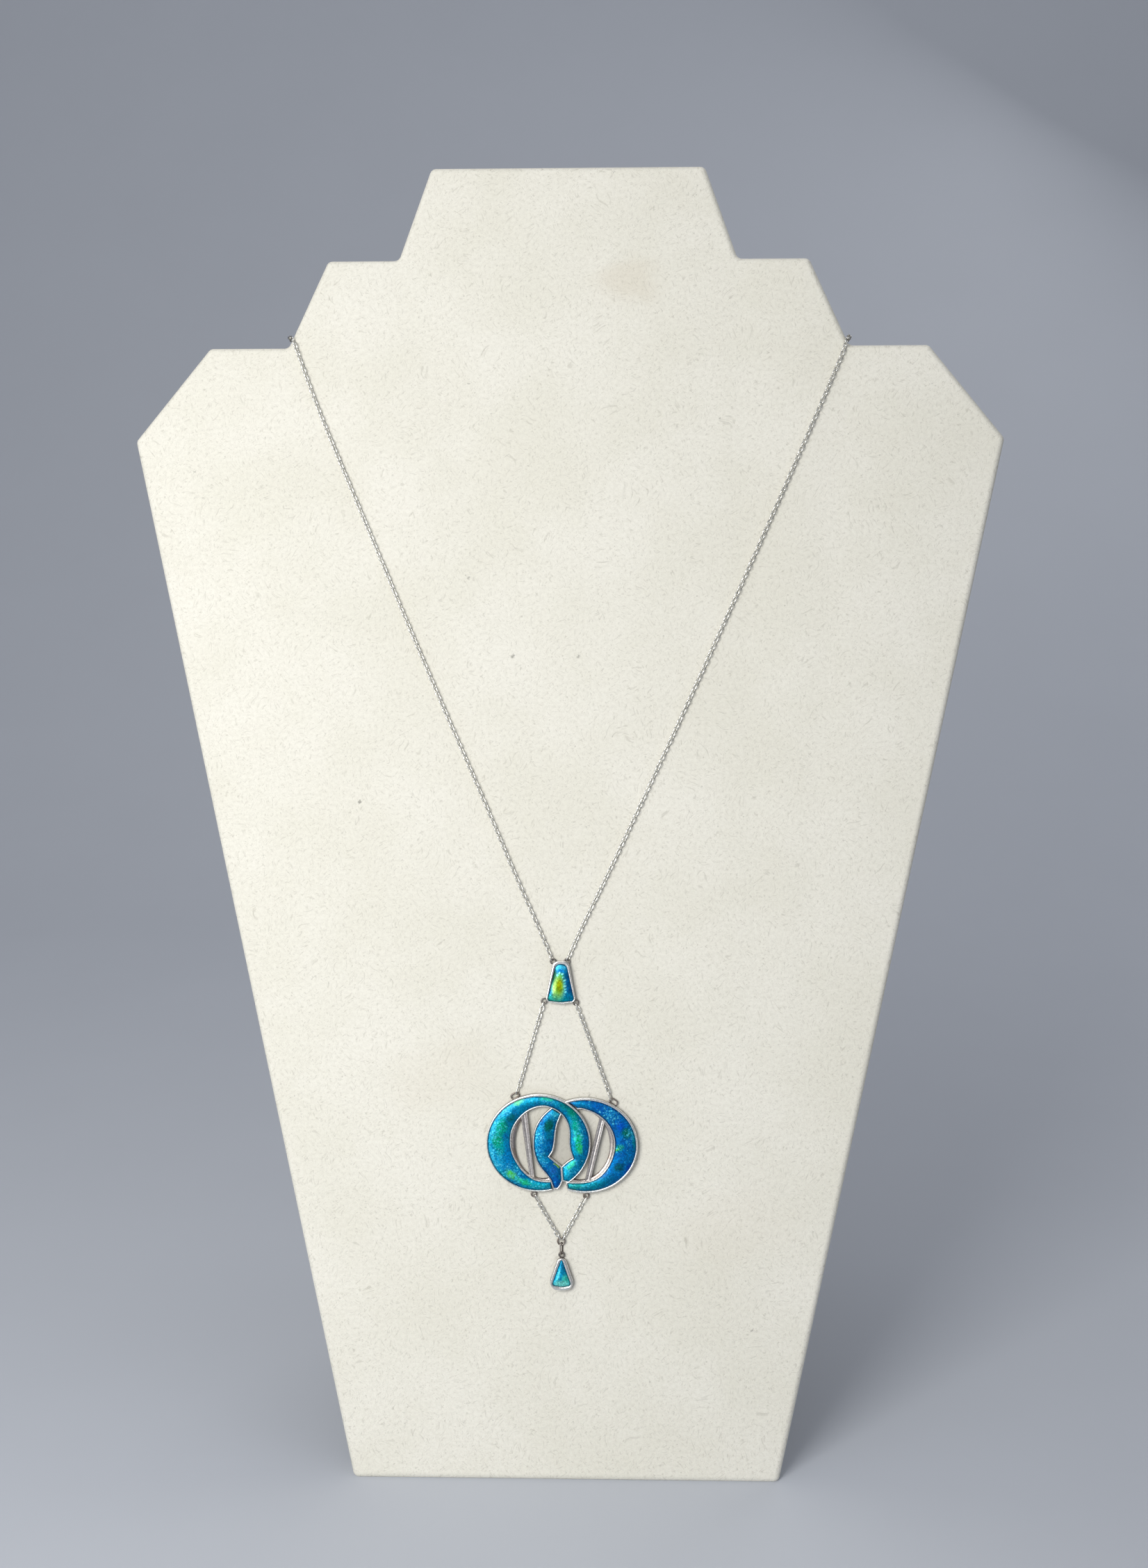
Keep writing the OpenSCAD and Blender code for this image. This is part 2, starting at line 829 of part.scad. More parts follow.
display_board();
easel_strut();
neck_chain_left();
neck_chain_right();
clasp();
connector_frame();
connector_enamel();
side_chain_left();
side_chain_right();
plaque_frame();
enamel_left_ring();
enamel_right_ring();
enamel_centre_limb();
lower_chain_left();
lower_chain_right();
centre_ring();
drop_bail();
drop_frame();
drop_enamel();
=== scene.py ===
"""Enamel necklace on a leaning velvet neck board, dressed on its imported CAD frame."""

import logging
import math
from collections.abc import Sequence
from dataclasses import dataclass, field
from enum import Enum
from functools import partial, reduce
from itertools import accumulate

import bmesh
import bpy
from mathutils import Euler, Matrix, Vector


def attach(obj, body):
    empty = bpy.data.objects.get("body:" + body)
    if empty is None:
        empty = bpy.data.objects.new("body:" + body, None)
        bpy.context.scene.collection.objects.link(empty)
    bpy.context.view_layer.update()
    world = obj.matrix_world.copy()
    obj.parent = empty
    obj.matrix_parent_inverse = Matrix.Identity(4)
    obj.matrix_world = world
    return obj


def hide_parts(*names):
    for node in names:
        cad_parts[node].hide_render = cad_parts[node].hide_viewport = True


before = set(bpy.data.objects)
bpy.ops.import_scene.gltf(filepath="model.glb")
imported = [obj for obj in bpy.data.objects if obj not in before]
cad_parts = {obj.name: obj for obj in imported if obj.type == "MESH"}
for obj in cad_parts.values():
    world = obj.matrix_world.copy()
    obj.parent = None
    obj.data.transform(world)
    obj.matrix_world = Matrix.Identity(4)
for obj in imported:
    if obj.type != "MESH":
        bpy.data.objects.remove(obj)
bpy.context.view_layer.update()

LOG = logging.getLogger("necklace")
Row = tuple[float, ...]
Pair = tuple[float, float]
# Outer and inner points along an enamel
Stations = list[tuple[Vector, Vector]]
Socket = bpy.types.NodeSocket
Value = Socket | float | Sequence[float]
Piece = bpy.types.Object
Finish = bpy.types.Material

# A millimetre in metres. The values that follow are in millimetres
MM = 0.001

# Right half of the board's outline, upwards. Columns: half width, height
BOARD_HALF = [
    (50.3, 0), (103.4, 246.6), (85.6, 268.8), (66.8, 268.8),
    (57.3, 289.6), (40.4, 289.6), (32.6, 311.6),
]
BOARD_T, CORNER_R, ROLL_R = 6.0, 1.6, 1.5

# Places on the board's face: middles of the connector, the plaque and the drop
CONNECTOR_AT, PLAQUE_AT, DROP_AT = (-1.3, 117.7), (-1.0, 79.8), (-1.0, 48.9)
CONNECTOR_H, CONNECTOR_TOP_W, CONNECTOR_FOOT_W = 10.1, 3.7, 7.0
DROP_H, DROP_W = 7.9, 5.6

# Heights above the velvet
BACK_Z, FLOOR_Z, LEDGE_Z, BAR_Z, RIM_Z = 0.2, 0.7, 1.0, 1.25, 1.6
WIRE_Z, ENAMEL_Z = 0.6, 1.35
RIM_W, LOOP_WIRE, LOOP_R, CELL_GAP = 0.38, 0.36, 0.6, 0.03
ROUND_LOOP, LONG_LOOP_L, LONG_LOOP_W = 2 * LOOP_R + LOOP_WIRE, 2.3, 1.5
CROWN, DOME = 0.2, 0.4

# Ellipses of the plaque: middle x, middle y, half width, half height
LEFT_OUTSIDE = (-5.5, 0.12, 12.34, 11.55)
LEFT_ENAMEL = (-5.51, -0.03, 11.97, 10.98)
RIGHT_OUTSIDE = (5.51, -0.43, 12.49, 11.27)
RIGHT_ENAMEL = (5.51, -0.5, 12.01, 10.64)
LEFT_OPENING = (-4.5, 0.06, 6.65, 8.43)
RIGHT_OPENING = (4.25, -0.36, 7.12, 8.28)

# Bands of the two rings, clockwise. Columns: angle on the enamel's outer ellipse, inner edge x, y
LEFT_BAND = [
    (-75, -2.6, -9.2), (-92, -4.7, -9.13), (-112, -6.95, -8.5), (-135, -9.2, -6.75),
    (-154, -10.85, -4.45), (-168, -11.85, -2.3), (-182, -12.3, 0.2), (-200, -11.95, 3.05),
    (-220, -10.75, 5.35), (-240, -8.85, 7.35), (-258, -6.5, 8.6), (-275, -4.1, 8.95),
    (-292, -1.95, 8.4), (-308, -0.3, 7.42), (-322, 0.95, 6.05), (-336, 1.8, 4.25),
    (-350, 2.08, 2.25), (-363, 2.05, 0.2), (-375, 2.3, -1.55), (-384, 3, -3.65),
]
LEFT_FLARE = [LEFT_BAND[-1], (-394, 1.75, -4.4), (-404, 0.3, -5.6)]
LEFT_FOOT = [LEFT_FLARE[-1], (-409, 0.36, -7.2), (-413.5, 0.5, -8.6)]
RIGHT_BAND = [
    (108, 3.6, 8.4), (100, 4.75, 8.42), (88, 6.45, 7.95), (74, 8.2, 7.18), (60, 9.8, 6.07),
    (45, 11.18, 4.52), (30, 12.12, 2.83), (15, 12.66, 1.03), (0, 12.7, -0.95),
    (-15, 12.25, -3.03), (-30, 11.4, -5.1), (-45, 10.2, -6.85), (-60, 8.75, -8.17),
    (-75, 7, -9), (-90, 5.05, -9.38), (-101, 3.1, -9.45), (-109, 1.45, -9.4),
]

# Centre limb down to its tail. Columns: left edge x, y, right edge x, y
LIMB = [
    (-2.3, 8.08, -0.42, 6.95), (-3.85, 6.7, -0.92, 5.75), (-5, 5.3, -1.38, 4.5),
    (-5.82, 3.77, -1.68, 2.95), (-6.32, 2.1, -1.86, 1.35), (-6.47, 0.35, -2.03, -0.2),
    (-6.42, -1.3, -2.4, -1.7), (-6.1, -2.8, -3.35, -3.15),
]
LIMB_FLARE = [LIMB[-1], (-5.44, -4.5, -1.8, -4.42), (-4.4, -6.05, -0.3, -5.62)]
TAIL = [
    LIMB_FLARE[-1], (-3.25, -7.35, -0.2, -7.3), (-2.4, -8.6, -0.12, -8.7),
    (-2, -9.7, -0.55, -9.75), (-1.7, -10.45, -1.1, -10.45),
]

# Slanting bars, from top left round to bottom left
LEFT_BAR = [(-9.65, 6.18), (-8.19, 7.3), (-6.4, -8.35), (-7.62, -7.65)]
RIGHT_BAR = [(9, 6.4), (10.25, 5.35), (6.93, -8.5), (5.45, -8.85)]

# Loops: x, y and, for the long ones of the plaque's top, the turn along the rim
CONNECTOR_LOOPS = [(-1.85, 5.0), (1.45, 5.0), (-3.95, -4.4), (3.55, -4.7)]
TOP_LOOPS = [(-11.1, 11.1, 28), (12.2, 9.8, -34)]
BOTTOM_LOOPS = [(-6.6, -12.1), (5.8, -12.4)]
DROP_LOOPS = [(0, DROP_H / 2 + 0.6)]

# Trays. Columns: x, y, rounding
CONNECTOR_OUTLINE = [
    (-CONNECTOR_FOOT_W / 2 - 0.15, -CONNECTOR_H / 2 + 0.55, 1),
    (0, -CONNECTOR_H / 2 - 0.1, 6),
    (CONNECTOR_FOOT_W / 2 + 0.15, -CONNECTOR_H / 2 + 0.55, 1),
    (CONNECTOR_TOP_W / 2, CONNECTOR_H / 2, 1.2),
    (-CONNECTOR_TOP_W / 2, CONNECTOR_H / 2, 1.2),
]
CONNECTOR_CELL = [
    (-CONNECTOR_FOOT_W / 2 + 0.35, -CONNECTOR_H / 2 + 0.8, 0.6),
    (0.05, -CONNECTOR_H / 2 + 0.45, 6),
    (CONNECTOR_FOOT_W / 2 - 0.3, -CONNECTOR_H / 2 + 0.8, 0.6),
    (CONNECTOR_TOP_W / 2 - 0.6, CONNECTOR_H / 2 - 0.7, 1.2),
    (-CONNECTOR_TOP_W / 2 + 0.75, CONNECTOR_H / 2 - 0.7, 1.2),
]
DROP_OUTLINE = [
    (-DROP_W / 2 - 0.7, -DROP_H / 2 + 0.35, 2),
    (0, -DROP_H / 2 + 0.15, 9),
    (DROP_W / 2 + 0.7, -DROP_H / 2 + 0.35, 2),
    (0, DROP_H / 2 + 2.4, 1.25),
]
DROP_CELL = [
    (-2.25, -DROP_H / 2 + 1.45, 0.5),
    (0, -DROP_H / 2 + 0.95, 5),
    (2.25, -DROP_H / 2 + 1.45, 0.5),
    (0, DROP_H / 2 - 0.2, 0.22),
]

# Routes of the neck chain: x, y, z on the board's face, from the connector's loop to the clasp
LEFT_ROUTE = [
    (-3.52, 123.53, 0.6), (-6.35, 130.1, 0.6), (-12, 142.8, 0.6), (-20.5, 162.7, 0.6),
    (-29.2, 182.5, 0.6), (-37.7, 202.3, 0.6), (-46.1, 222.2, 0.6), (-54.5, 242.1, 0.6),
    (-60, 255.6, 0.6), (-64.1, 266.8, 0.6), (-65.3, 270, 0.55), (-66.1, 271.1, -0.1),
    (-66.6, 271.4, -1.6), (-66.6, 271.4, -4.4), (-66.1, 271.4, -5.9), (-64.6, 271.4, -6.7),
    (-58, 271.3, -6.7), (-40, 271, -6.7), (-20, 270.8, -6.7), (-3.9, 270.7, -6.7),
]
RIGHT_ROUTE = [
    (0.52, 123.54, 0.6), (3.35, 130.1, 0.6), (9.5, 142.8, 0.6), (18.9, 162.8, 0.6),
    (28, 182.5, 0.6), (36.9, 202.2, 0.6), (45.7, 221.9, 0.6), (54.4, 241.7, 0.6),
    (60.2, 255.1, 0.6), (64.8, 265.9, 0.6), (65.9, 269.1, 0.55), (66.5, 270.6, -0.1),
    (66.9, 270.9, -1.6), (66.9, 270.9, -4.4), (66.4, 270.9, -5.9), (64.9, 270.9, -6.7),
    (58, 270.9, -6.7), (40, 270.8, -6.7), (20, 270.7, -6.7), (3.9, 270.7, -6.7),
]
LINK_L, LINK_W, LINK_WIRE, LINK_PITCH = 1.7, 1.15, 0.3, 1.03
CLASP_Y = 270.7


class Side(Enum):
    """Half of the necklace as it is seen from the front."""

    LEFT = "left"
    RIGHT = "right"


@dataclass(frozen=True)
class BoardFace:
    """The leaning face that everything is drawn on, in millimetres: x across, y up it, z out of it."""

    lean: float = 15.0
    hinge_h: float = 178.0
    node_gap: float = 0.1
    prop_slope: float = 20.0
    prop_t: float = 3.0

    @property
    def hinge(self) -> Pair:
        """Depth and height of the prop's hinge before the origin is set.

        Returns:
            Both, in millimetres.
        """
        a = math.radians(self.lean)
        off = BOARD_T + self.node_gap
        return (
            self.hinge_h * math.sin(a) + off * math.cos(a),
            self.hinge_h * math.cos(a) - off * math.sin(a),
        )

    @property
    def origin_y(self) -> float:
        """Depth of the middle of the whole's box before the origin is set.

        Returns:
            The depth in millimetres.
        """
        a, b = math.radians(self.lean), math.radians(self.prop_slope)
        front = ROLL_R * (math.sin(a) + math.cos(a)) - ROLL_R
        y, z = self.hinge
        back = y + z * math.tan(b) + self.prop_t / math.cos(b)
        return (front + back) / 2

    def matrix(self) -> Matrix:
        """Matrix from millimetres on the face to metres in the world."""
        lie_back = Matrix.Rotation(math.radians(90 - self.lean), 4, "X")
        return Matrix.Scale(MM, 4) @ Matrix.Translation((0, -self.origin_y, 0)) @ lie_back

    def shader_mapping(self, at: Pair) -> tuple[Vector, Euler]:
        """Offset and turn that bring object coordinates, in millimetres, back to the face.

        Args:
            at: the place on the face that becomes zero.

        Returns:
            The location and rotation for a Mapping node that scales metres to millimetres.
        """
        turn = Matrix.Rotation(-math.radians(90 - self.lean), 4, "X")
        shift = turn @ Vector((0, self.origin_y, 0)) - Vector((*at, 0))
        return shift, turn.to_euler()


FACE = BoardFace()


def srgb(screen: Row, share: float = 1.0) -> Row:
    """Linear colour with full alpha, from screen values of 0 to 255 that are lowered to a share."""
    levels = (v * share / 255 for v in screen)
    return (*(v / 12.92 if v <= 0.04045 else ((v + 0.055) / 1.055) ** 2.4 for v in levels), 1.0)


def raised(point: Vector, z: float) -> Vector:
    """Point of the face raised to a height."""
    return Vector((point.x, point.y, z))


def rounded(rows: Sequence[Row], steps: int, drawn_in: float = 0.0) -> list[Vector]:
    """Closed outline with its corners rounded by arcs.

    Args:
        rows: x, y and rounding of each corner.
        steps: parts of an arc.
        drawn_in: how far the outline is drawn in.

    Returns:
        Points, the same number for each corner.
    """
    out = []
    for i, (x, y, r) in enumerate(rows):
        p = Vector((x, y))
        a = (Vector(rows[i - 1][:2]) - p).normalized()
        b = (Vector(rows[(i + 1) % len(rows)][:2]) - p).normalized()
        half = a.angle(b) / 2
        middle = p + (a + b).normalized() * r / math.sin(half)
        from_a = p + a * r / math.tan(half) - middle
        from_b = p + b * r / math.tan(half) - middle
        start = math.atan2(from_a.y, from_a.x)
        turn = math.remainder(math.atan2(from_b.y, from_b.x) - start, math.tau)
        radius = r - drawn_in if a.x * b.y - a.y * b.x < 0 else r + drawn_in
        for j in range(steps + 1):
            t = start + turn * j / steps
            out.append(middle + radius * Vector((math.cos(t), math.sin(t))))
    return out


def inset(rows: Sequence[Row], by: float, rounding: float) -> list[Row]:
    """Outline whose straight edges are moved inwards.

    Args:
        rows: corners, anticlockwise; only x and y are read.
        by: distance of the move.
        rounding: rounding of the new corners.

    Returns:
        Rows of x, y and rounding.
    """
    out = []
    for i in range(len(rows)):
        p, q, r = (Vector(rows[(i + k) % len(rows)][:2]) for k in (-1, 0, 1))
        a, b = (q - p).normalized(), (r - q).normalized()
        na, nb = Vector((-a.y, a.x)), Vector((-b.y, b.x))
        corner = q + (na + nb) * by / (1 + na.dot(nb))
        out.append((corner.x, corner.y, rounding))
    return out


def smooth_run(rows: Sequence[Row], steps: int) -> list[Row]:
    """Smooth curve through the rows of a table, any number of columns.

    Args:
        rows: the rows.
        steps: new rows to a row.

    Returns:
        The rows, with the last row of the table at the end.
    """
    out = []
    for i in range(len(rows) - 1):
        p, q, r, s = (rows[max(0, min(len(rows) - 1, i + k))] for k in (-1, 0, 1, 2))
        for j in range(steps):
            t = j / steps
            out.append(tuple(
                0.5 * (2 * b + (c - a) * t + (2 * a - 5 * b + 4 * c - d) * t**2
                       + (3 * b - a - 3 * c + d) * t**3)
                for a, b, c, d in zip(p, q, r, s, strict=True)
            ))
    return [*out, tuple(rows[-1])]


def joined_runs(parts: Sequence[Sequence[Row]], steps: int) -> list[Row]:
    """Smooth curves through tables that follow each other, with a corner where they meet.

    Args:
        parts: the tables, each of which starts with the last row of the one before.
        steps: new rows to a row.

    Returns:
        The rows of the whole.
    """
    rows: list[Row] = []
    for part in parts:
        rows = rows[:-1] + smooth_run(part, steps)
    return rows


def on_ellipse(e: Row, degrees: float) -> Vector:
    """Point of an ellipse given by its middle and half sizes."""
    a = math.radians(degrees)
    return Vector((e[0] + e[2] * math.cos(a), e[1] + e[3] * math.sin(a)))


def beside(path: Sequence[Vector], width: float) -> list[Vector]:
    """Line beside an open path, on its right-hand side, drawn in at sharp corners.

    Args:
        path: points of the path.
        width: distance from it.

    Returns:
        A point for each point of the path.
    """
    least = 0.7
    ways = [(q - p).normalized() for p, q in zip(path, path[1:])]
    out = []
    for p, a, b in zip(path, [ways[0], *ways], [*ways, ways[-1]], strict=True):
        na, nb = Vector((a.y, -a.x)), Vector((b.y, -b.x))
        out.append(p + (na + nb) * width / max(least, 1 + na.dot(nb)))
    return out


def bearing(way: Vector) -> float:
    """Direction on the face in degrees, from 0 to 360."""
    return math.degrees(math.atan2(way.y, way.x)) % 360


def reach(edge: Sequence[Vector], way: Vector) -> float:
    """Distance of an edge that goes round a middle, in one direction.

    Args:
        edge: points of the edge, from the middle.
        way: the direction.

    Returns:
        The distance, between those of the two nearest points.
    """
    least = 1e-6
    turns = sorted((bearing(p), p.length) for p in edge)
    turns = [(turns[-1][0] - 360, turns[-1][1]), *turns, (turns[0][0] + 360, turns[0][1])]
    angle = bearing(way)
    (a, ra), (b, rb) = next(pair for pair in zip(turns, turns[1:]) if pair[1][0] >= angle)
    return ra + (rb - ra) * (angle - a) / max(least, b - a)


def cross_section(near: Vector, far: Vector, profile: Sequence[Row], level: float) -> list[Vector]:
    """Closed section between two points of the face, with a profile on top and a flat back."""
    top = [raised(near.lerp(far, s), level + z) for s, z in profile]
    return [*top, raised(far, BACK_Z), raised(near, BACK_Z)]


def stand_on_floor(bm: bmesh.types.BMesh) -> None:
    """Cuts away what is below the floor and closes the cut.

    Args:
        bm: closed mesh in metres.
    """
    cut = bmesh.ops.bisect_plane(
        bm, geom=bm.verts[:] + bm.edges[:] + bm.faces[:], dist=1e-7,
        plane_co=(0, 0, 0), plane_no=(0, 0, 1), clear_inner=True,
    )
    edges = [e for e in cut["geom_cut"] if isinstance(e, bmesh.types.BMEdge)]
    bmesh.ops.holes_fill(bm, edges=edges, sides=0)


def deliver(
    mesh: bpy.types.Mesh, finish: Finish, slot: str, node: str = "",
    crease: float = 50.0, grounded: bool = False,
) -> Piece:
    """Makes a mesh a piece that rides on the part and stands for its CAD node.

    Args:
        mesh: closed mesh in metres, named as the piece.
        finish: its material.
        slot: material slot; not used.
        node: CAD node that it replaces, or nothing.
        crease: sharpest angle that is still shaded smooth, in degrees.
        grounded: whether it is cut off at the floor.

    Returns:
        The piece, at the origin.
    """
    bm = bmesh.new()
    bm.from_mesh(mesh)
    if grounded:
        stand_on_floor(bm)
    bmesh.ops.recalc_face_normals(bm, faces=bm.faces)
    bm.to_mesh(mesh)
    bm.free()
    mesh.shade_smooth()
    mesh.set_sharp_from_angle(angle=math.radians(crease))
    mesh.materials.clear()
    mesh.materials.append(finish)
    piece = bpy.data.objects.new(mesh.name, mesh)
    bpy.context.scene.collection.objects.link(piece)
    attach(piece, "root")
    if node:
        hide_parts(node)
    return piece


@dataclass
class Shell:
    """Points and faces of one piece, in millimetres from a place on the board's face."""

    at: Pair = (0.0, 0.0)
    points: list[Vector] = field(default_factory=list)
    faces: list[tuple[int, ...]] = field(default_factory=list)
    # Distance from the rim and way along it for each point of an enamel
    glaze: list[Pair] = field(default_factory=list)
    loop_turns: int = 28
    loop_sides: int = 12

    def skin(
        self, rings: Sequence[Sequence[Vector]], joined: bool = False, glaze: Sequence[Sequence[Pair]] = (),
    ) -> None:
        """Adds a skin over closed rings of equally many points, and closes its ends.

        Args:
            rings: the rings.
            joined: whether the last ring joins the first instead.
            glaze: an enamel's coordinates in the same order.
        """
        base, n, m = len(self.points), len(rings), len(rings[0])
        place = Vector((*self.at, 0))
        self.points += [place + p for ring in rings for p in ring]
        self.glaze += [pair for row in glaze for pair in row]
        for i in range(n if joined else n - 1):
            a, b = base + i * m, base + (i + 1) % n * m
            self.faces += [(a + j, b + j, b + (j + 1) % m, a + (j + 1) % m) for j in range(m)]
        if not joined:
            self.faces.append(tuple(base + j for j in range(m)))
            self.faces.append(tuple(base + (n - 1) * m + j for j in reversed(range(m))))

    def loop(
        self, x: float, y: float, way: float = 0, length: float = ROUND_LOOP, width: float = ROUND_LOOP,
    ) -> None:
        """Adds a loop of round wire that lies on the face, round or drawn out to an oval.

        Args:
            x, y: its middle.
            way: direction of its length, in degrees.
            length, width: outside sizes.
        """
        place = Matrix.Translation((x, y, WIRE_Z)) @ Matrix.Rotation(math.radians(way), 4, "Z")
        out_of_face = Vector((0, 0, 1))
        rings = []
        for i in range(self.loop_turns):
            t = math.tau * (i + 0.5) / self.loop_turns
            out = Vector((math.cos(t), math.sin(t), 0))
            straight = Vector((math.copysign((length - width) / 2, out.x), 0, 0))
            middle = (width - LOOP_WIRE) / 2 * out + straight
            rings.append([
                place @ (middle + LOOP_WIRE / 2 * (math.cos(s) * out + math.sin(s) * out_of_face))
                for s in (math.tau * j / self.loop_sides for j in range(self.loop_sides))
            ])
        self.skin(rings, joined=True)

    def piece(self, name: str, finish: Finish, slot: str, node: str = "", **options: float) -> Piece:
        """Delivers the shell as a piece in metres.

        Args:
            name: name of the piece.
            finish: its material.
            slot: material slot.
            node: CAD node that it replaces, or nothing.
            options: its crease, and whether it is grounded.

        Returns:
            The piece.
        """
        mesh = bpy.data.meshes.new(name)
        mesh.from_pydata(self.points, [], self.faces)
        if self.glaze:
            layer = mesh.uv_layers.new(name="glaze")
            for loop in mesh.loops:
                layer.data[loop.index].uv = self.glaze[loop.vertex_index]
        mesh.transform(FACE.matrix())
        return deliver(mesh, finish, slot, node, **options)


# Finishes


class Tree:
    """Lays nodes in a tree, each with its links and constants."""

    def __init__(self, tree: bpy.types.NodeTree) -> None:
        """Keeps the tree that takes the nodes."""
        self.tree = tree

    def put(self, target: Socket, value: Value) -> None:
        """Links a socket to an input, or sets a constant on it.

        Args:
            target: the input.
            value: the socket or the constant.
        """
        if isinstance(value, Socket):
            self.tree.links.new(value, target)
        else:
            target.default_value = value

    def add(
        self, kind: str, inputs: dict[str | int, Value] | None = None, output: str | int = 0,
        **settings: object,
    ) -> Socket:
        """Adds a node and gives one of its outputs.

        Args:
            kind: type of the node.
            inputs: what its inputs take, by name or number.
            output: name or number of the output.
            settings: the node's own settings.

        Returns:
            The output.
        """
        made = self.tree.nodes.new(kind)
        for key, value in settings.items():
            setattr(made, key, value)
        for key, value in (inputs or {}).items():
            self.put(made.inputs[key], value)
        return made.outputs[output]

    def part(self, vector: Socket, axis: str) -> Socket:
        """One component of a vector."""
        return self.add("ShaderNodeSeparateXYZ", {0: vector}, axis)

    def math(self, operation: str, *values: Value) -> Socket:
        """Arithmetic on one or more values."""
        return self.add("ShaderNodeMath", dict(enumerate(values)), operation=operation)

    def minus(self, first: Value, second: Value) -> Socket:
        """Difference of two values."""
        return self.math("SUBTRACT", first, second)

    def plus(self, *values: Value) -> Socket:
        """Sum of two or more values."""
        return reduce(partial(self.math, "ADD"), values)

    def times(self, *values: Value) -> Socket:
        """Product of two or more values."""
        return reduce(partial(self.math, "MULTIPLY"), values)


@dataclass(frozen=True)
class Layer:
    """Colour that comes up with a noise, on cloth.

    Fields: scale, detail and roughness of the noise, its values where the colour starts and where it
    is full, and the colour's strength and screen values.
    """

    noise: Row
    low: float
    high: float
    strength: float
    colour: Row


class Shade(Tree):
    """Lays the nodes of one material."""

    # Parts of a spot's half sizes where it ends and where it is full, and the scale that leaves out height
    SPOT_EDGE = (1.25, 0.35)
    FLAT = 0.001

    def __init__(self, name: str) -> None:
        """Starts the material with its shader.

        Args:
            name: name of the material.
        """
        self.material = bpy.data.materials.new(name)
        self.material.use_nodes = True
        super().__init__(self.material.node_tree)

    def finished(self, **values: Value) -> Finish:
        """Sets the shader's inputs and gives the material.

        Args:
            values: the inputs, named in lower case with underscores.

        Returns:
            The material.
        """
        shader = self.tree.nodes["Principled BSDF"]
        for key, value in values.items():
            self.put(shader.inputs[key.replace("_", " ").title().replace("Ior", "IOR")], value)
        return self.material

    def mapping(self, kind: str, at: Socket, move: Value, turn: Value, scale: Value) -> Socket:
        """Coordinates moved, turned and scaled in the way of the kind."""
        inputs = {"Vector": at, "Location": move, "Rotation": turn, "Scale": scale}
        return self.add("ShaderNodeMapping", inputs, vector_type=kind)

    def face_mm(self, at: Pair = (0.0, 0.0)) -> Socket:
        """Coordinates on the board's face, in millimetres from a place on it."""
        metres = self.add("ShaderNodeTexCoord", output="Object")
        return self.mapping("POINT", metres, *FACE.shader_mapping(at), (1 / MM, 1 / MM, 1 / MM))

    def squeeze(self, at: Socket, turn: float, scale: Row, middle: Row = (0, 0, 0)) -> Socket:
        """Coordinates from a new middle, turned by degrees about the face's normal and scaled."""
        return self.mapping("TEXTURE", at, middle, (0, 0, math.radians(turn)), [1 / s for s in scale])

    def noise(
        self, at: Socket, scale: float, detail: float = 2.0, rough: float = 0.5, output: str = "Fac",
    ) -> Socket:
        """Cloudy noise, its value or its colour."""
        inputs = {"Vector": at, "Scale": scale, "Detail": detail, "Roughness": rough}
        return self.add("ShaderNodeTexNoise", inputs, output)

    def warp(
        self, at: Socket, scale: float, amount: float, detail: float = 2.0, rough: float = 0.5,
        pushed: Socket | None = None,
    ) -> Socket:
        """Coordinates pushed about by a noise; a place moves by half the amount on average.

        Args:
            at: coordinates of the noise.
            scale: its scale.
            amount: how far it pushes.
            detail, rough: its detail and roughness.
            pushed: coordinates that it pushes, where they aren't its own.

        Returns:
            The coordinates.
        """
        push = self.noise(at, scale, detail, rough, "Color")
        terms = {0: push, 1: (amount, amount, 0), 2: at if pushed is None else pushed}
        return self.add("ShaderNodeVectorMath", terms, operation="MULTIPLY_ADD")

    def cells(self, at: Socket, scale: float) -> tuple[Socket, Socket]:
        """Scattered cells: distance from the middle of each, and a random colour for each."""
        far = self.add("ShaderNodeTexVoronoi", {"Vector": at, "Scale": scale}, "Distance")
        return far, far.node.outputs["Color"]

    def step(self, value: Socket, low: float, high: float, start: float = 0.0, end: float = 1.0) -> Socket:
        """Smooth step from start to end as a value goes from low to high."""
        ends = {"Value": value, "From Min": low, "From Max": high, "To Min": start, "To Max": end}
        return self.add("ShaderNodeMapRange", ends, "Result", interpolation_type="SMOOTHSTEP")

    def mix(self, factor: Value, a: Value, b: Value, blend: str = "MIX") -> Socket:
        """Two colours mixed."""
        return self.add("ShaderNodeMix", {0: factor, 6: a, 7: b}, 2, data_type="RGBA", blend_type=blend)

    def paint(self, under: Value, cover: Value, screen: Row) -> Socket:
        """Colour from screen values laid over another where it covers."""
        return self.mix(cover, under, srgb(screen))

    def lay(self, under: Value, value: Socket, layer: Layer) -> Socket:
        """Layer's colour laid over another as the value of its noise asks."""
        return self.paint(under, self.step(value, layer.low, layer.high, 0.0, layer.strength), layer.colour)

    def spot(self, at: Socket, u: float, v: float, ru: float, rv: float, turn: float) -> Socket:
        """Soft-edged patch: one in its middle, and nothing well outside its half sizes.

        Args:
            at: coordinates that it lies in.
            u, v: its middle.
            ru, rv: its half sizes.
            turn: direction of the first, in degrees.

        Returns:
            How far a place belongs to the patch.
        """
        near = self.squeeze(at, turn, (1 / ru, 1 / rv, self.FLAT), (u, v, 0))
        far = self.add("ShaderNodeVectorMath", {0: near}, "Value", operation="LENGTH")
        return self.step(far, *self.SPOT_EDGE)

    def bump(self, height: Socket, strength: float, depth: float) -> Socket:
        """Normal bent by a height, with its depth in millimetres."""
        inputs = {"Strength": strength, "Distance": depth * MM, "Height": height}
        return self.add("ShaderNodeBump", inputs, "Normal")


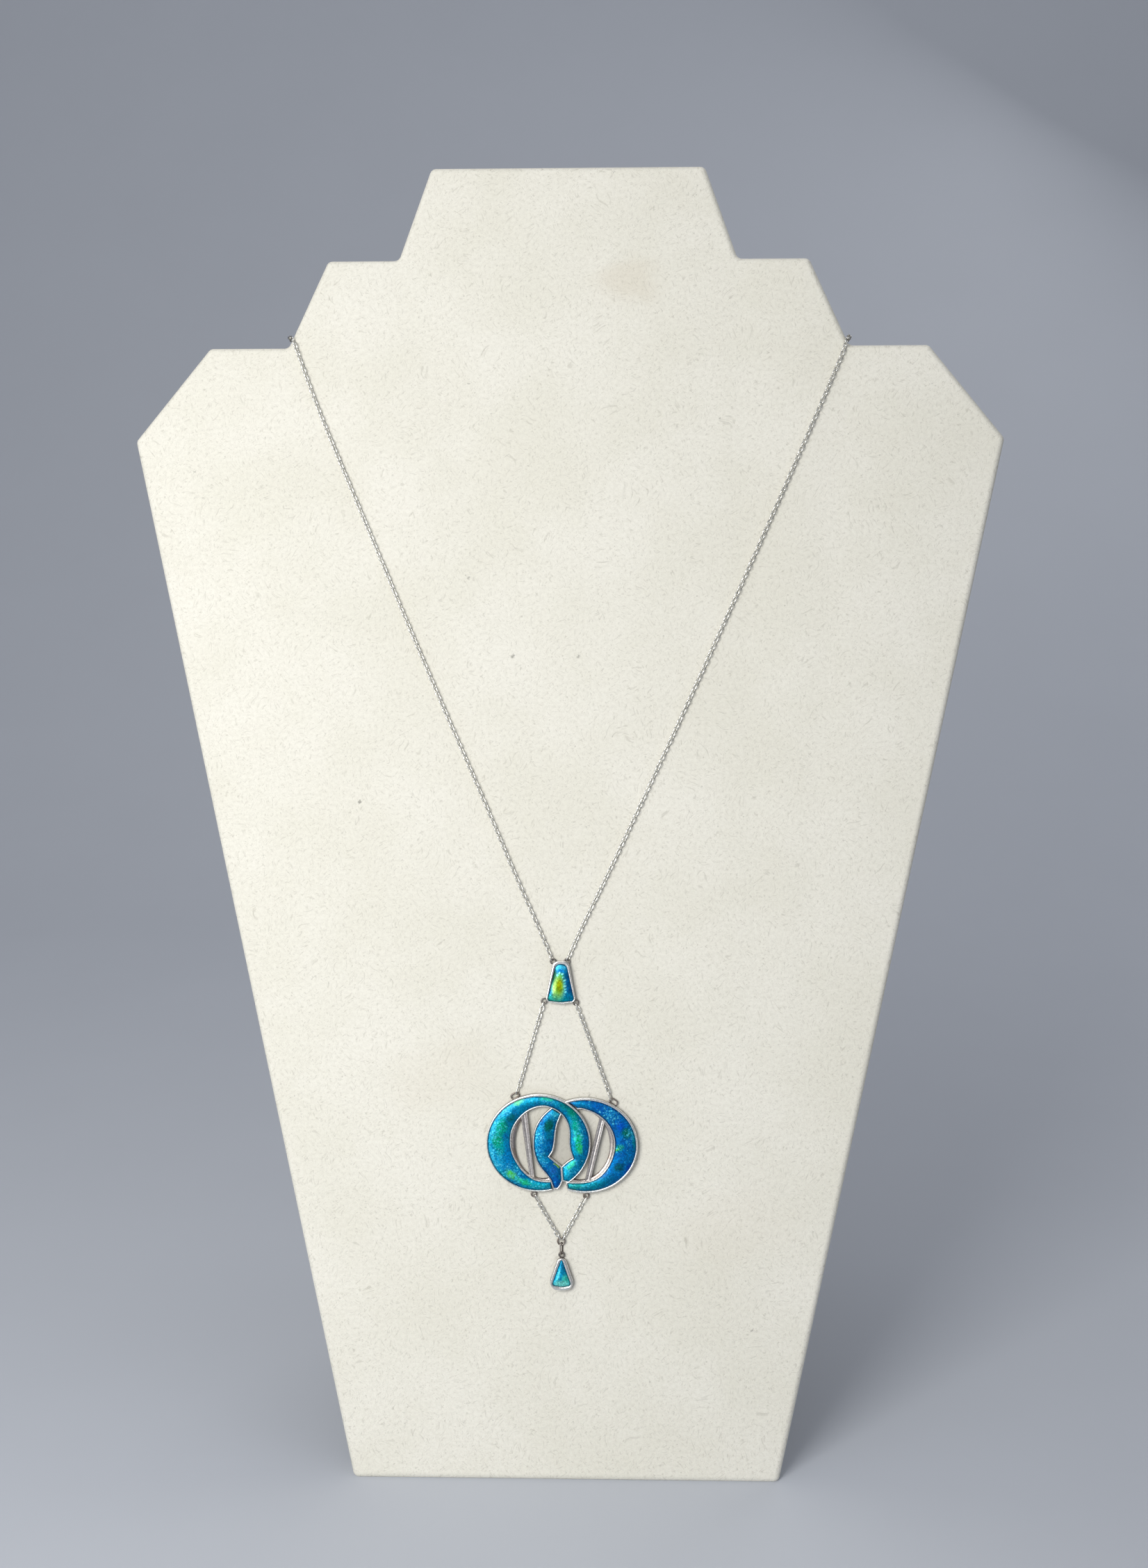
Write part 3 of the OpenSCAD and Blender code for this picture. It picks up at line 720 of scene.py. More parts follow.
@dataclass(frozen=True)
class Velvet:
    """Short cream pile with nap, lint, fibres, a few faint marks and painted shade behind the plaque."""

    name: str = "cream_velvet"
    dark: Row = (239, 236, 223)
    light: Layer = Layer((0.035, 3, 0.55), 0.32, 0.68, 1.0, (245, 242, 231))
    nap: Layer = Layer((1.0, 3, 0.6), 0.3, 0.72, 0.14, (244, 241, 231))
    pile: Layer = Layer((3.4, 3, 0.65), 0.5, 0.34, 0.12, (196, 190, 174))
    dust: Layer = Layer((1.5, 2, 0.7), 0.6, 0.72, 0.34, (186, 180, 164))
    tips: Layer = Layer((1.2, 3, 0.75), 0.4, 0.62, 0.2, (206, 201, 187))
    fibre: Layer = Layer((1.0, 1, 0.6), 0.6, 0.72, 0.26, (170, 165, 150))
    # Directions of the nap and of the fibres in degrees, and their stretch
    nap_turn: float = 8
    nap_scale: Row = (0.6, 0.35, 0.6)
    fibre_turns: Row = (24, -50)
    fibre_scale: Row = (2.4, 0.7, 1.0)
    # Hairs follow the middle of a noise, in a few chosen cells. Lint lies in cells of its own. Pairs
    # are the values between which a hair or a cell comes up
    hair_noise: Row = (0.55, 1, 0.4)
    hair_edge: Pair = (0.011, 0.003)
    hair_cells: float = 0.17
    hair_size: Pair = (0.16, 0.1)
    hair_chosen: Pair = (0.74, 0.76)
    hair_strength: float = 0.5
    hair: Row = (168, 164, 154)
    lint_cells: float = 0.42
    lint_size: Pair = (0.105, 0.06)
    lint_chosen: Pair = (0.8, 0.84)
    lint_strength: float = 0.34
    lint: Row = (150, 146, 134)
    # Marks on the board: x, y, radius, strength
    specks: tuple[Row, ...] = (
        (-12.9, 195.0, 0.55, 0.55), (2.8, 195.0, 0.5, 0.5), (-49.3, 160.4, 0.55, 0.6),
        (43.9, 35.8, 0.4, 0.5), (-23.4, 213.7, 0.5, 0.4), (36.2, 251.5, 0.35, 0.3),
    )
    stains: tuple[Row, ...] = ((14.2, 283.8, 9, 0.25), (-30, 95, 14, 0.1), (40, 60, 16, 0.08))
    speck: Row = (96, 92, 84)
    stain: Row = (214, 200, 176)
    # Their heights for a width of one, and their directions in degrees
    speck_form: Pair = (0.75, 40)
    stain_form: Pair = (0.7, 20)
    # Scale of the noise that makes the edges of specks and stains wander, and how far
    ragged: Pair = (2.2, 0.9)
    soft: Pair = (0.08, 12.0)
    # Painted shade on the cloth behind and inside the plaque: x, y, half width, half height, strength
    plaque_shade_patch: Row = (PLAQUE_AT[0], PLAQUE_AT[1] - 0.2, 14.0, 9.2, 0.5)
    plaque_shade_colour: Row = (158, 155, 146)
    sheen: Row = (255, 250, 238)
    # Share of the nap in the relief beside the pile
    nap_relief: float = 0.6

    def hairs(self, s: Shade, at: Socket, colour: Socket) -> Socket:
        """Adds short curved hairs and fine dots of lint.

        Args:
            s: the material being built.
            at: coordinates on the board.
            colour: colour so far.

        Returns:
            The colour with them.
        """
        off_middle = s.math("ABSOLUTE", s.minus(s.noise(at, *self.hair_noise), 0.5))
        far, pick = s.cells(at, self.hair_cells)
        chosen = s.step(s.part(pick, "X"), *self.hair_chosen)
        few = s.times(chosen, s.step(far, *self.hair_size), self.hair_strength)
        colour = s.paint(colour, s.times(s.step(off_middle, *self.hair_edge), few), self.hair)
        far, pick = s.cells(at, self.lint_cells)
        chosen = s.step(s.part(pick, "Y"), *self.lint_chosen)
        dots = s.times(s.step(far, *self.lint_size), chosen, self.lint_strength)
        return s.paint(colour, dots, self.lint)

    def marks(self, s: Shade, at: Socket, soft: Socket, colour: Socket) -> Socket:
        """Adds the specks, the stains and the painted shade behind the plaque.

        Args:
            s: the material being built.
            at: coordinates on the board.
            soft: the same, pushed far about for the stains.
            colour: colour so far.

        Returns:
            The colour with them.
        """
        ragged = s.warp(at, *self.ragged)
        for rows, place, pushed, (flat, turn), screen in (
            (self.specks, ragged, self.ragged[1] / 2, self.speck_form, self.speck),
            (self.stains, soft, self.soft[1] / 2, self.stain_form, self.stain),
        ):
            for x, y, r, strength in rows:
                mark = s.spot(place, x + pushed, y + pushed, r, r * flat, turn)
                colour = s.paint(colour, s.times(mark, strength), screen)
        # Painted shade of the plaque on the cloth under and inside it
        x, y, wide, high, strength = self.plaque_shade_patch
        return s.paint(colour, s.times(s.spot(at, x, y, wide, high, 0), strength), self.plaque_shade_colour)

    def make(self) -> Finish:
        """Builds the material.

        Returns:
            The material.
        """
        s = Shade(self.name)
        at = s.face_mm()
        soft = s.warp(at, *self.soft)
        nap = s.noise(s.squeeze(at, self.nap_turn, self.nap_scale), *self.nap.noise)
        pile = s.noise(at, *self.pile.noise)
        colour = s.lay(srgb(self.dark), s.noise(at, *self.light.noise), self.light)
        colour = s.lay(s.lay(colour, nap, self.nap), pile, self.pile)
        colour = self.hairs(s, at, colour)
        for layer in (self.dust, self.tips):
            colour = s.lay(colour, s.noise(at, *layer.noise), layer)
        for turn in self.fibre_turns:
            fibre = s.noise(s.squeeze(soft, turn, self.fibre_scale), *self.fibre.noise)
            colour = s.lay(colour, fibre, self.fibre)
        return s.finished(
            base_color=self.marks(s, at, soft, colour), roughness=0.92, specular_ior_level=0.12,
            sheen_weight=0.28, sheen_roughness=0.45, sheen_tint=srgb(self.sheen),
            normal=s.bump(s.plus(pile, s.times(nap, self.nap_relief)), strength=0.22, depth=0.12),
        )


@dataclass(frozen=True)
class BackCloth:
    """Plain woven cloth glued over card, for the board's back and its prop."""

    name: str = "backing_cloth"
    threads_per_mm: float = 2.6
    # Scale of the noise that bends the threads, and how far
    bend: Pair = (0.9, 0.12)
    hollow: Row = (188, 181, 163)
    thread: Row = (222, 216, 200)
    thread_edge: Pair = (0.1, 0.9)
    aged: Layer = Layer((0.06, 3, 0.6), 0.35, 0.7, 0.25, (206, 196, 172))

    def make(self) -> Finish:
        """Builds the material.

        Returns:
            The material.
        """
        s = Shade(self.name)
        at = s.face_mm()
        bent = s.warp(at, *self.bend)
        across, along = (
            s.math("ABSOLUTE", s.math("SINE", s.times(s.part(bent, axis), self.threads_per_mm * math.pi)))
            for axis in ("X", "Y")
        )
        weave = s.times(across, along)
        colour = s.paint(srgb(self.hollow), s.step(weave, *self.thread_edge), self.thread)
        return s.finished(
            base_color=s.lay(colour, s.noise(at, *self.aged.noise), self.aged), roughness=0.85,
            specular_ior_level=0.2, sheen_weight=0.1, normal=s.bump(weave, strength=0.4, depth=0.1),
        )


@dataclass(frozen=True)
class Silver:
    """Old silver, bright where rubbed, darker low down near the cloth: partly tarnish, partly painted shade.

    Fields dark_z and bright_z are the heights above the velvet where the tarnish and painted shade are full
    and gone.
    """

    name: str
    at: Pair = PLAQUE_AT
    dark_z: float = 0.4
    bright_z: float = 1.3
    tarnish_and_shade: float = 0.8
    rough: float = 0.24
    # Strength of the brown patches, partly tarnish stains and partly painted reflections of warm light
    brown_and_warm_reflection: float = 0.0
    metal: Row = (246, 245, 242)
    # Colour of the tarnish and of the painted shade low down
    stain: Row = (74, 62, 54)
    # Colour of the brown patches
    warm: Row = (150, 118, 92)
    # Noises of the wear, the fine scratches and the brown patches, which are tarnish stains and painted warm
    # reflections, with the values between which each comes up, and the scratches' direction and stretch
    wear: Row = (1.6, 3, 0.6)
    wear_edge: Pair = (0.3, 0.7)
    scratches: Row = (1.0, 2, 0.6)
    scratch_edge: Pair = (0.3, 0.75)
    scratch_turn: float = 35
    scratch_scale: Row = (9, 1.5, 3)
    brown_patch_noise: Row = (0.42, 2, 0.5)
    brown_edge: Pair = (0.46, 0.62)
    # How far wear moves the tarnish and painted shade up and down, and the share of brightness that worn
    # metal keeps
    wear_z: float = 0.7
    worn: float = 0.9
    # Roughness that scratches and tarnish add
    scratch_rough: float = 0.14
    tarnish_rough: float = 0.22

    def make(self) -> Finish:
        """Builds the material.

        Returns:
            The material.
        """
        s = Shade(self.name)
        at = s.face_mm(self.at)
        wear = s.noise(at, *self.wear)
        fine = s.noise(s.squeeze(at, self.scratch_turn, self.scratch_scale), *self.scratches)
        height = s.plus(s.part(at, "Z"), s.times(s.minus(wear, 0.5), self.wear_z))
        # Tarnish and painted shade: full low down towards the cloth, gone high up
        deep = s.times(s.step(height, self.bright_z, self.dark_z), self.tarnish_and_shade)
        metal = s.mix(s.step(wear, *self.wear_edge), srgb(self.metal), srgb(self.metal, self.worn))
        # Brown patches: partly tarnish stains, partly painted reflections of warm light
        if self.brown_and_warm_reflection:
            brown_patches = s.step(s.noise(at, *self.brown_patch_noise), *self.brown_edge)
            metal = s.paint(metal, s.times(brown_patches, self.brown_and_warm_reflection), self.warm)
        rough = s.step(fine, *self.scratch_edge, self.rough, self.rough + self.scratch_rough)
        return s.finished(
            base_color=s.paint(metal, deep, self.stain), metallic=1.0,
            roughness=s.plus(rough, s.times(deep, self.tarnish_rough)),
            normal=s.bump(s.plus(fine, wear), strength=0.18, depth=0.03),
        )


@dataclass(frozen=True)
class Patch:
    """Cloud of another colour in a glaze: middle, half sizes, turn in degrees, colour and strength."""

    u: float
    v: float
    ru: float
    rv: float
    turn: float
    colour: Row
    strength: float = 0.9


@dataclass(frozen=True)
class Enamel:
    """Translucent glass over hammered silver, with clouds of colour and painted glints as bright flecks."""

    name: str
    at: Pair
    deep: Row
    body: Row
    patches: tuple[Patch, ...]
    # Where the painted glints crowd: middle, half sizes and turn
    glints: tuple[Row, ...] = ()
    # Colours of the painted glints
    glint: Row = (24, 180, 228)
    pale_glint: Row = (100, 222, 242)
    # Painted shade where the enamel meets the rims: its colour, the width it reaches in, and its strength
    edge: Row = (4, 34, 58)
    rim_shade_width: float = 0.34
    rim_shade_strength: float = 0.8
    # Noise of the two blues, and the values between which the second comes up
    clouds: Row = (0.42, 3, 0.6)
    cloud_edge: Pair = (0.36, 0.64)
    # How far the edges of patches wander, and its noise: scale times that distance, detail, roughness
    loose: float = 1.6
    loose_noise: Row = (1.44, 3, 0.6)
    # Hammer marks: how many to a millimetre, their direction and stretch, and how they wander (scale,
    # distance, detail and roughness)
    hammer: float = 4.4
    hammer_turn: float = 25
    hammer_scale: Row = (1.0, 0.72, 1.0)
    hammer_warp: Row = (2.0, 0.4, 2, 0.6)
    # Fine grain: scale times that of the marks, detail and roughness
    grain: Row = (1.15, 2, 0.55)
    # Shares of the marks and of the grain in the silver's brightness, and the sums that are dull and bright
    mark_share: float = 0.35
    grain_share: float = 0.65
    light_edge: Pair = (0.26, 0.74)
    # Sizes of painted glint: how many to a millimetre, turn, share of places left empty, half width in its
    # place
    glint_sizes: tuple[Row, ...] = ((1.4, 20, 0.97, 0.56), (2.2, -35, 0.95, 0.5), (3.4, 60, 0.95, 0.44))
    glint_stretch: Row = (1.0, 1.35, 1.0)
    glint_warp: Row = (2.4, 0.55, 2, 0.6)
    # Share of its width where a painted glint is full, and the strengths of the faintest and the strongest
    glint_core: float = 0.35
    glint_strengths: Pair = (0.3, 0.96)
    # Share of places left empty on top of that, and in a crowd
    sparse: float = 0.0
    crowded: float = 0.3
    # Share of red, green and blue that the glass lets through, and of that in and between the marks
    glass: Row = (0.6, 0.89, 0.78)
    beaten: Pair = (0.6, 1.38)

    def add_painted_glints(self, s: Shade, at: Socket, crowd: Value, colour: Socket) -> Socket:
        """Adds painted glints: ragged bright flecks that stand in for light off the hammered silver, crowded
        where it faces the light.

        Args:
            s: the material being built.
            at: coordinates on the enamel.
            crowd: one where they crowd.
            colour: colour so far.

        Returns:
            The colour with the painted glints.
        """
        ragged = s.warp(at, *self.glint_warp)
        for scale, turn, empty, wide in self.glint_sizes:
            far, pick = s.cells(s.squeeze(ragged, turn, self.glint_stretch), scale)
            empty += self.sparse
            least = s.minus(empty, s.times(crowd, empty - self.crowded))
            chosen = s.math("GREATER_THAN", s.part(pick, "X"), least)
            shine = s.step(s.part(pick, "Z"), 0.0, 1.0, *self.glint_strengths)
            glint_mask = s.times(chosen, s.step(far, wide, wide * self.glint_core), shine)
            colour = s.mix(glint_mask, colour, s.mix(s.part(pick, "Y"), srgb(self.glint), srgb(self.pale_glint)))
        return colour

    def make(self) -> Finish:
        """Builds the material.

        Returns:
            The material.
        """
        s = Shade(self.name)
        at = s.face_mm(self.at)
        scale, *rough = self.loose_noise
        loose, pushed = s.warp(at, scale / self.loose, self.loose, *rough), self.loose / 2
        cloudy = s.step(s.noise(at, *self.clouds), *self.cloud_edge)
        colour = s.paint(srgb(self.deep), cloudy, self.body)
        for p in self.patches:
            cloud = s.spot(loose, p.u + pushed, p.v + pushed, p.ru, p.rv, p.turn)
            colour = s.paint(colour, s.times(cloud, p.strength), p.colour)
        # Hammer marks under the glass: soft dents of uneven brightness
        turned = s.squeeze(at, self.hammer_turn, self.hammer_scale)
        dent, tone = s.cells(s.warp(at, *self.hammer_warp, turned), self.hammer)
        scale, *rough = self.grain
        grain = s.noise(at, self.hammer * scale, *rough)
        light = s.plus(s.times(s.part(tone, "X"), self.mark_share), s.times(grain, self.grain_share))
        dull, bright = ((*(c * share for c in self.glass), 1) for share in self.beaten)
        beaten = s.mix(s.step(light, *self.light_edge), dull, bright)
        colour = s.mix(1.0, colour, beaten, "MULTIPLY")
        # Places where the painted glints crowd
        crowd: Value = 0.0
        for u, v, ru, rv, turn in self.glints:
            crowd = s.math("MAXIMUM", crowd, s.spot(loose, u + pushed, v + pushed, ru, rv, turn))
        colour = self.add_painted_glints(s, at, crowd, colour)
        # Painted shade along the rims, full where the enamel meets them
        near_rim = s.part(s.add("ShaderNodeUVMap", output="UV", uv_map="glaze"), "X")
        rim_shade_mask = s.step(near_rim, self.rim_shade_width, 0.0, 0.0, self.rim_shade_strength)
        return s.finished(
            base_color=s.paint(colour, rim_shade_mask, self.edge), metallic=0.7, roughness=0.42,
            specular_ior_level=0.08, coat_weight=0.12, coat_roughness=0.06,
            normal=s.bump(s.plus(dent, grain), strength=0.3, depth=0.06),
        )


SKY, TEAL, GREEN, EMERALD = (70, 186, 226), (8, 150, 170), (0, 150, 112), (0, 172, 96)
DARK_GREEN, ROYAL, NIGHT, VIOLET = (0, 96, 84), (0, 94, 190), (0, 88, 184), (40, 92, 196)

LEFT_GLAZE = Enamel(
    "blue_green_glaze", PLAQUE_AT, (0, 108, 172), (0, 142, 190),
    (
        Patch(5.9, -0.3, 1.4, 5.6, 0, (0, 104, 172)), Patch(4.2, -4.0, 2.0, 1.8, 30, (0, 116, 168)),
        Patch(-12.4, -3.4, 1.7, 3.6, 0, (0, 118, 188)), Patch(-15.4, -3.6, 1.6, 3.0, 12, (8, 138, 194)),
        Patch(-9.2, 8.6, 2.4, 1.4, 35, (0, 126, 180)), Patch(-11.6, 3.4, 1.1, 2.2, -20, (0, 132, 168), 0.8),
        Patch(-5.3, -10.0, 3.4, 0.9, 0, TEAL), Patch(-13.4, 8.3, 2.4, 1.1, 45, SKY, 0.45),
        Patch(-16.2, 3.0, 1.0, 3.2, -5, SKY, 0.4), Patch(-16.4, -3.6, 0.7, 3.4, 15, SKY, 0.35),
        Patch(-13.8, -7.6, 1.4, 1.0, -45, TEAL, 0.8), Patch(-10.1, 9.6, 1.5, 0.7, 25, (122, 206, 120), 0.8),
        Patch(-11.9, 6.0, 1.4, 1.1, 40, DARK_GREEN, 0.7), Patch(-14.2, 3.8, 1.5, 2.4, -14, GREEN),
        Patch(-15.2, 0.6, 1.5, 2.3, 0, GREEN), Patch(-14.6, -1.8, 1.1, 1.6, 0, (0, 138, 140), 0.7),
        Patch(-11.9, -7.4, 1.8, 1.0, -38, (96, 196, 72)), Patch(-9.0, -9.0, 2.2, 0.8, -20, (44, 190, 136)),
        Patch(-7.6, 9.8, 2.4, 0.9, 10, (20, 158, 204), 0.8),
        Patch(-3.3, 10.5, 2.4, 0.6, 0, (52, 186, 148), 0.8),
        Patch(0.6, 8.8, 1.6, 1.2, -35, (0, 122, 132)), Patch(2.5, 7.1, 1.2, 1.8, 35, (0, 136, 112)),
        Patch(3.4, 4.0, 1.2, 2.2, 8, (0, 158, 136)), Patch(4.0, 0.2, 1.1, 2.6, -2, EMERALD),
        Patch(3.2, 2.4, 0.5, 0.6, 0, (60, 216, 214)), Patch(3.1, 1.1, 0.6, 0.7, 0, (60, 220, 206)),
        Patch(4.3, -1.4, 0.8, 1.4, 0, (56, 190, 84), 0.6), Patch(2.2, -5.1, 1.5, 0.8, 40, (60, 200, 150)),
        Patch(1.2, -7.2, 0.9, 1.4, 0, (30, 176, 222)),
    ),
    (
        (-13.4, 8.2, 3.4, 2.2, 42), (-15.6, 3.2, 2.4, 5.0, -5), (-15.6, -4.0, 2.4, 5.0, 14),
        (-11.6, -7.2, 3.6, 2.0, -42), (-3.4, 10.4, 4.0, 1.6, 0), (3.4, 2.0, 2.0, 4.6, 5),
        (2.0, -5.8, 2.2, 2.4, 30), (-5.0, -10.2, 4.0, 1.4, -5),
    ),
    glass=(0.6, 0.97, 0.89),
)
LIMB_GLAZE = Enamel(
    "deep_blue_glaze", PLAQUE_AT, (0, 98, 180), (0, 130, 196),
    (
        Patch(-1.1, 7.2, 1.4, 1.2, 30, (40, 168, 214)), Patch(-3.1, 4.2, 1.2, 2.0, -22, DARK_GREEN),
        Patch(-2.9, 1.8, 0.9, 1.4, -8, (0, 118, 150), 0.7), Patch(-5.3, 2.4, 0.8, 1.8, -14, (14, 142, 204)),
        Patch(-4.8, -3.4, 1.4, 1.2, 0, (12, 140, 196)), Patch(-1.0, -5.2, 0.32, 1.3, 52, (168, 196, 44)),
        Patch(-1.9, -6.4, 1.2, 1.0, 30, VIOLET, 0.6), Patch(-1.4, -9.2, 1.3, 2.0, 15, NIGHT),
    ),
    ((-5.4, 0.8, 1.7, 5.0, 0), (-1.4, 6.8, 2.0, 1.8, 30), (-4.6, -3.6, 1.8, 2.0, 0)),
)
RIGHT_GLAZE = Enamel(
    "royal_glaze", PLAQUE_AT, (0, 96, 184), (0, 118, 198),
    (
        Patch(9.0, 8.2, 2.4, 1.2, -25, ROYAL), Patch(14.2, 4.0, 1.4, 2.0, 20, (0, 82, 206)),
        Patch(17.1, 1.0, 0.6, 3.0, 0, TEAL, 0.7), Patch(15.4, 2.6, 1.5, 1.4, 0, (0, 106, 84)),
        Patch(13.4, -1.2, 1.5, 0.9, 20, (10, 126, 86)), Patch(13.0, -1.4, 0.5, 0.3, 20, (120, 206, 70)),
        Patch(13.5, -5.6, 1.4, 1.0, 20, (0, 84, 104)), Patch(16.0, -6.2, 1.2, 1.6, -25, (10, 82, 214)),
        Patch(10.8, -8.6, 2.4, 1.4, 35, (0, 110, 172)), Patch(6.6, -9.8, 4.4, 1.8, 8, (4, 132, 166), 1.0),
        Patch(2.9, -9.9, 2.6, 1.3, 0, (30, 150, 158), 1.0), Patch(4.6, 9.2, 2.6, 1.0, -10, (8, 130, 196)),
    ),
    (
        (11.8, 6.4, 3.0, 1.8, -40), (16.2, 2.0, 1.4, 2.6, 0), (3.4, -9.9, 4.4, 1.6, 0),
        (13.2, -1.2, 1.6, 1.2, 20),
    ),
)
CONNECTOR_GLAZE = Enamel(
    "sky_olive_glaze", CONNECTOR_AT, (0, 98, 168), (8, 128, 188),
    (
        Patch(-0.2, 3.8, 2.2, 1.2, 0, (66, 184, 232)), Patch(-0.1, 2.8, 1.1, 0.6, 0, (6, 118, 204)),
        Patch(2.0, 0.6, 0.9, 2.6, -8, (0, 100, 166)), Patch(2.4, -2.2, 0.8, 1.4, 12, (8, 84, 156)),
        Patch(1.4, -3.4, 2.4, 1.5, 0, (0, 126, 178)), Patch(0.0, -4.0, 2.2, 1.0, 0, (0, 140, 164)),
        Patch(-1.6, -3.7, 2.2, 1.2, 8, (48, 170, 158)), Patch(-0.1, 1.5, 1.1, 1.1, 0, (44, 150, 96)),
        Patch(-0.6, -1.1, 1.75, 3.1, 0, (124, 206, 104)),
        Patch(-1.3, -0.9, 0.6, 2.5, -7, (182, 230, 126), 0.8),
        Patch(-1.62, 1.5, 0.7, 2.0, -12, (8, 84, 62), 1.0),
        Patch(-0.35, -0.8, 1.2, 2.6, 0, (116, 150, 18), 1.0),
        # The small pale cyan patches, from (150, 238, 250) on, are painted glints off the hammered silver
        # under the glass
        Patch(-0.3, -0.4, 0.7, 1.3, 0, (136, 146, 4), 1.0), Patch(-0.29, 2.3, 0.3, 0.3, 0, (150, 238, 250)),
        Patch(-0.8, 1.8, 0.3, 0.32, 0, (120, 226, 240)), Patch(0.42, 2.07, 0.34, 0.3, 20, (140, 236, 250)),
        Patch(0.6, 1.3, 0.36, 0.22, 20, (130, 232, 246)), Patch(0.95, 0.6, 0.44, 0.26, 20, (140, 244, 246)),
        Patch(0.95, -0.1, 0.4, 0.22, 20, (90, 216, 226), 0.7),
        Patch(1.0, -0.8, 0.42, 0.24, 24, (150, 240, 250)),
        Patch(1.15, -1.5, 0.38, 0.22, 24, (110, 224, 236), 0.8),
        Patch(1.14, -2.2, 0.34, 0.24, 24, (130, 232, 246)),
        Patch(0.9, -2.9, 0.36, 0.22, 20, (90, 206, 216), 0.7),
    ),
    edge=(14, 40, 52), loose=0.3, hammer=3.8, sparse=0.06, glass=(0.95, 1.0, 0.9),
)
DROP_GLAZE = Enamel(
    "light_blue_glaze", DROP_AT, (0, 134, 188), (18, 160, 200),
    (
        Patch(0.15, 1.8, 0.8, 1.8, 0, (20, 124, 176)), Patch(0.1, 0.2, 0.8, 1.1, 0, (4, 138, 190)),
        Patch(-0.8, -0.5, 0.36, 2.2, -14, (96, 208, 226), 0.8),
        Patch(1.0, -1.3, 1.1, 1.5, 10, (64, 190, 178)),
        Patch(-1.0, -1.8, 0.8, 1.0, 0, (62, 188, 214)), Patch(0.1, -2.2, 2.0, 0.9, 0, (122, 218, 216), 0.95),
    ),
    edge=(14, 40, 56), loose=0.4, hammer=3.8, sparse=0.04, glass=(1.0, 1.08, 1.0),
)

# The links darken towards the cloth: partly tarnish, partly painted shade under each link
CHAIN_SILVER = Silver(
    "chain_silver", dark_z=0.0, bright_z=0.8, tarnish_and_shade=0.6, rough=0.15,
    metal=(255, 254, 249), stain=(116, 108, 96),
)
FITTING_SILVER = Silver("dark_fittings", CONNECTOR_AT, tarnish_and_shade=0.85, brown_and_warm_reflection=0.3, metal=(208, 200, 194))
CLASP_SILVER = Silver("clasp_silver", (0, CLASP_Y), dark_z=-9, bright_z=-8, tarnish_and_shade=0.4, rough=0.15)
RIM_SILVER = Silver("bright_rims", dark_z=0.7, bright_z=1.4, rough=0.22)
# The ledges sit low inside the rings: their darker metal is partly tarnish, partly painted shade
LEDGE_SILVER = Silver(
    "polished_ledges", dark_z=0.55, bright_z=1.25, tarnish_and_shade=0.9, rough=0.18, brown_and_warm_reflection=0.45, metal=(214, 206, 202),
)
BAR_SILVER = Silver("worn_bars", dark_z=0.3, bright_z=0.9, tarnish_and_shade=0.7, brown_and_warm_reflection=0.12, metal=(232, 228, 226))
LOOP_SILVER = Silver("dark_loops", tarnish_and_shade=0.85, brown_and_warm_reflection=0.35, metal=(208, 198, 192))


# Sub-assemblies


